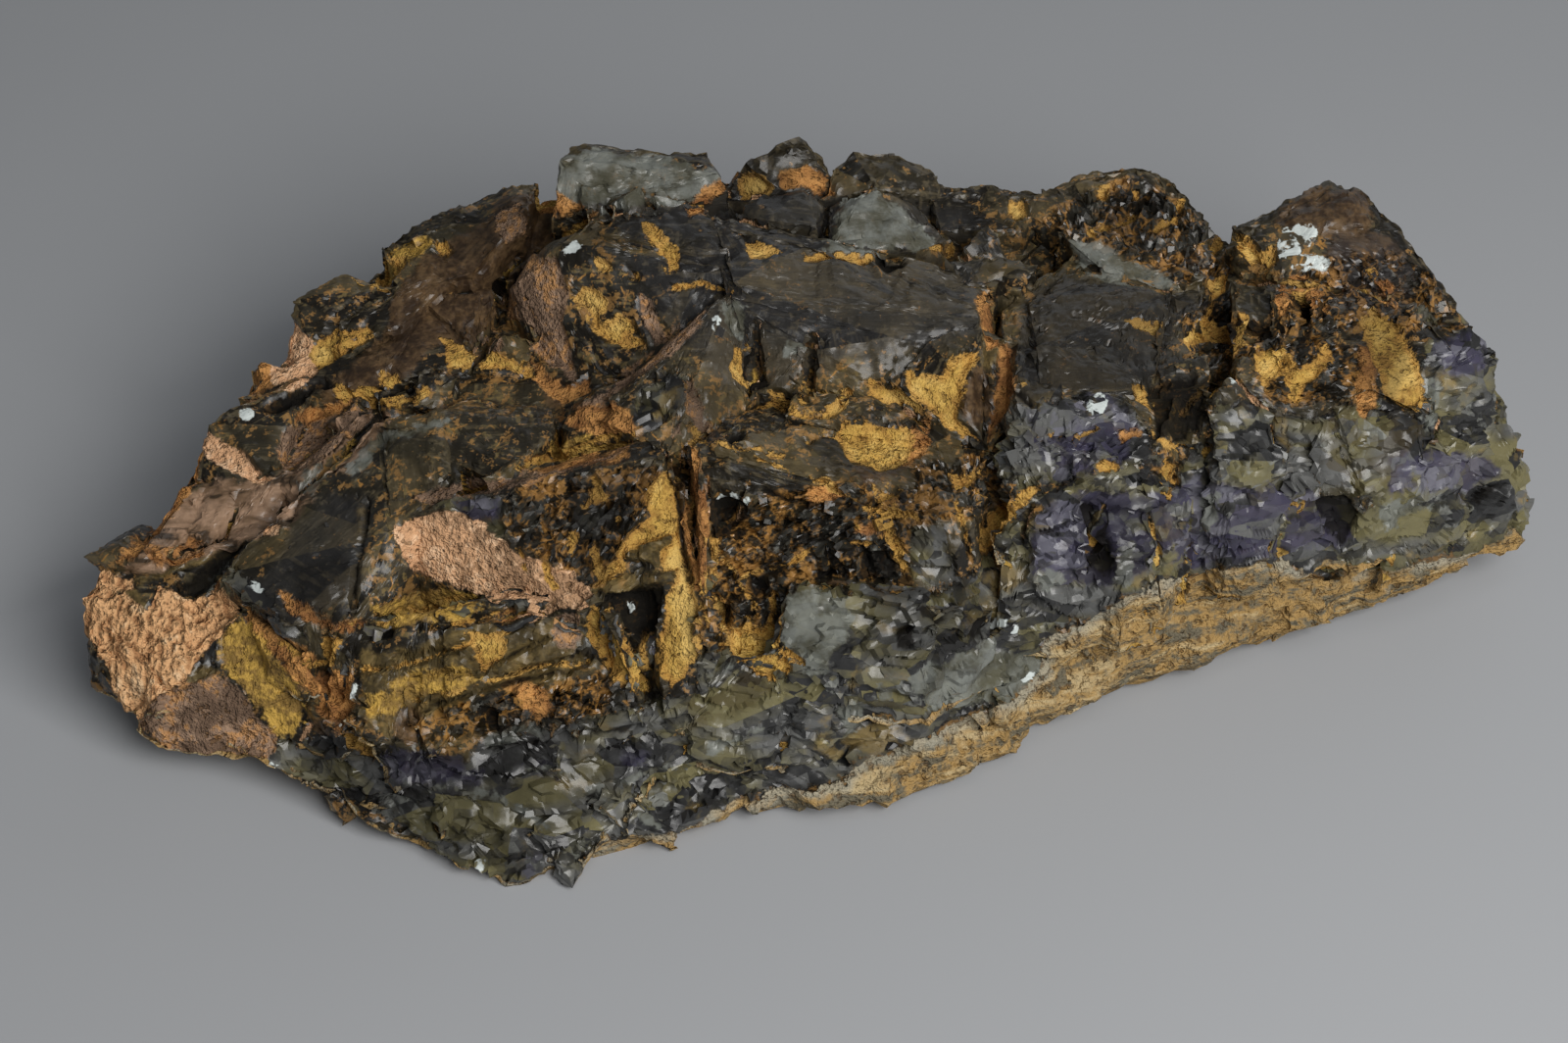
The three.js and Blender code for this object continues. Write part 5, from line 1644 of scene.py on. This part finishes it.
def banded_fluorite(s):
    """Broken grains of grey, green, violet and clouded white, drawn out along the layers."""
    grain, small_grain, mottle = s.grain, s.small_grain, s.mottle
    cloud = s.noise(120, 2, 0.6, vector=s.stretched((0.5, 1.0, 1.7), LAYER_TURN))
    banded = s.blend(s.ramp(cloud + (grain[0] - 0.5) * 0.3, 0.36, 0.62), BAND_GREY, BAND_GREEN)
    is_dark = s.ramp(grain[1] * 0.6 + small_grain[1] * 0.2 + mottle * 0.4, 0.64, 0.40)
    banded = s.blend(is_dark, banded, BAND_DARK)
    is_flake = s.ramp(grain[2] * 0.7 + small_grain[2] * 0.25 + s.specks * 0.3, 0.92, 1.10)
    banded = s.blend(is_flake, banded, BAND_PALE)
    banded = s.blend(s.ramp(s.patches * 0.5 + mottle * 0.5, 0.55, 0.64) * 0.6, banded, AMBER)
    tinted = s.ramp(grain[0] * 0.4 + small_grain[0] * 0.3 + mottle * 0.5, 0.36, 0.60)
    banded = s.blend(s.marks["violet"] * tinted * 0.9, banded, violet_fluorite(s))
    is_green = s.marks["olive"] * s.ramp(small_grain[0] * 0.4 + s.patches * 0.6, 0.36, 0.52)
    banded = s.blend(is_green * 0.55, banded, DEEP_OLIVE)
    near_crust = s.ramp(s.attribute("granular") + s.ragged * 0.6, 2.0, 0.0)
    return s.blend(near_crust * 0.45, banded, SHADE_BLACK)


# Pale grey-green faces: the rock's pale fluorite and painted sheen on faces that catch the light.
def glassy_sheen_face(s):
    return s.blend(s.ramp(s.mottle, 0.4, 0.62), PALE_GREEN, PALE_FACE_AND_SHEEN)


# Finishes of the clay and the rock skin.


def ochre_clay(s):
    """Yellow clay in the valleys, darker and redder towards its edge."""
    clay = s.blend(s.ramp(s.mottle * 0.6 + s.specks * 0.4, 0.38, 0.56), DEEP_OCHRE, OCHRE)
    clay = s.blend(s.ramp(s.patches * 0.6 + s.mottle * 0.5, 0.53, 0.66) * 0.8, clay, PALE_OCHRE)
    near_edge_of_clay = s.ramp(s.attribute("ochre") + s.ragged * 0.5, 1.2, 0.0)
    return s.blend(near_edge_of_clay * 0.55, clay, RUST)


def orange_wall(s):
    return s.blend(s.ramp(s.streak * 0.4 + s.mottle * 0.6, 0.42, 0.6), DEEP_ORANGE, ORANGE_CLAY)


def pink_face(s):
    pink = s.blend(s.ramp(s.patches * 0.5 + s.mottle * 0.5, 0.42, 0.52), GREY_PINK, PINK_CLAY)
    return s.blend(s.ramp(s.mottle * 0.5 + s.specks * 0.5, 0.48, 0.62), pink, PALE_PINK)


def rose_face(s):
    rose = s.blend(s.ramp(s.streak * 0.4 + s.mottle * 0.6, 0.42, 0.6), ROSE, ROSE_PALE)
    return s.blend(s.ramp(s.specks * 0.45 + s.mottle * 0.55, 0.52, 0.60) * 0.6, rose, ORANGE_CLAY)


def mustard_face(s):
    streaks = s.streak * 0.3 + s.mottle * 0.4 + s.specks * 0.3
    return s.blend(s.ramp(streaks, 0.44, 0.56), DEEP_MUSTARD, MUSTARD)


def columned_nose(s):
    """The pink columns of the left end."""
    nose = s.blend(s.ramp(s.columns * 0.8 + s.mottle * 0.2, 0.36, 0.50), DEEP_NOSE, NOSE_CLAY)
    return s.blend(s.ramp(s.columns * 0.5 + s.mottle * 0.5, 0.54, 0.66), nose, NOSE_PALE)


def rock_skin(s):
    """Bedded ochre rock, greyer along its upper rim."""
    bed = s.noise(1.0, 3, 0.6, vector=s.stretched((90, 240, 800), LAYER_TURN))
    skin = s.blend(s.ramp(bed * 0.5 + s.mottle * 0.25 + s.specks * 0.25, 0.42, 0.53), SKIN_GREY, SKIN_OCHRE)
    skin = s.blend(s.ramp(bed * 0.6 + s.patches * 0.4, 0.52, 0.62) * 0.8, skin, SKIN_PALE)
    rim = s.ramp(s.attribute("skin") + s.ragged * 0.6, 1.9, 0.5)
    return s.blend(rim * s.ramp(s.patches, 0.36, 0.52) * 0.8, skin, SKIN_RIM)


# The rock's material.


def rock_relief(s, matt):
    """Height, in metres, of what is too fine for the mesh."""
    marks, facets, small_facets = s.marks, s.facets, s.small_facets
    crystal = facets * 0.15 + small_facets * 0.25 + s.fibre * 0.0003
    crystal = crystal + s.specks * 0.00015 + marks["crumbly"] * small_facets * 0.4
    banded = facets * 0.22 + small_facets * 0.14 + s.specks * 0.00008
    clay = s.noise(1300, 2, 0.75) * 0.0011 - s.pits * 0.0004 + marks["nose"] * s.columns * 0.0022
    glossy = crystal * (1 - marks["granular"]) + banded * marks["granular"]
    return glossy * (1 - matt) + clay * matt


def fluorite_rock():
    s = RockShader()
    marks = s.marks
    painted_highlight_specks = s.ramp(s.small_grain[0] * 0.25 + s.mottle * 0.5 + s.specks * 0.5, 0.56, 0.64)
    clays = marks["orange"].or_more(marks["pink"], marks["ochre"], marks["nose"], marks["rose"])
    matt = clays.or_more(marks["mustard"] * 0.6, marks["skin"])
    layers = [
        (marks["granular"], banded_fluorite(s)),
        # Pale grains, and painted sheen on the faces that catch the light.
        (marks["pale"] * 0.85, glassy_sheen_face(s)),
        (marks["orange"] * 0.9, orange_wall(s)),
        (marks["rose"], rose_face(s)),
        (marks["mustard"] * 0.9, mustard_face(s)),
        (marks["pink"], pink_face(s)),
        (marks["ochre"], ochre_clay(s)),
        (marks["nose"], columned_nose(s)),
        (marks["skin"], rock_skin(s)),
        # Painted shade: black in holes, cracks and gaps, and on a few black faces.
        (marks["black"] * 0.9, SHADE_BLACK),
        # Painted highlight: specks of near white where the glints lie.
        (marks["painted_glint"] * painted_highlight_specks, PAINTED_GLINT_WHITE),
        # Darker here: partly painted shade, partly a darker tone of the rock.
        (marks["dim"] * 0.48, SHADE_BLACK),
        # Painted shade: the clay is darker in its small pits.
        (s.pits * matt * 0.55, PIT_SHADE_BROWN),
    ]
    colour = crystal_crust(s)
    for share, finish in layers:
        colour = s.blend(share, colour, finish)
    dull = matt.or_more(marks["black"])
    s.finish(
        Base_Color=colour,
        Roughness=0.46 - marks["granular"] * 0.16 + dull * 0.45 + (s.specks - 0.5) * 0.3,
        Coat_Weight=(1 - dull) * (0.45 + marks["crumbly"] * 0.25),
        Normal=s.bump(rock_relief(s, matt), 0.9),
        IOR=1.44,
        Specular_IOR_Level=0.2,
        Coat_IOR=1.45,
        Coat_Roughness=0.22,
    )
    return s.material


def floor_sheet():
    s = Shader("grey_sheet")
    s.finish(Base_Color=SHEET_GREY, Roughness=0.9)
    bpy.ops.mesh.primitive_plane_add(size=8, location=(0, 0, 0))
    floor = bpy.context.object
    floor.name = "floor"
    floor.data.materials.append(s.material)


rock = fluorite_rock()
for piece in (*specimen, grains):
    piece.data.materials.append(rock)
    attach(piece, "root")
    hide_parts("fluorite_specimen")
floor_sheet()
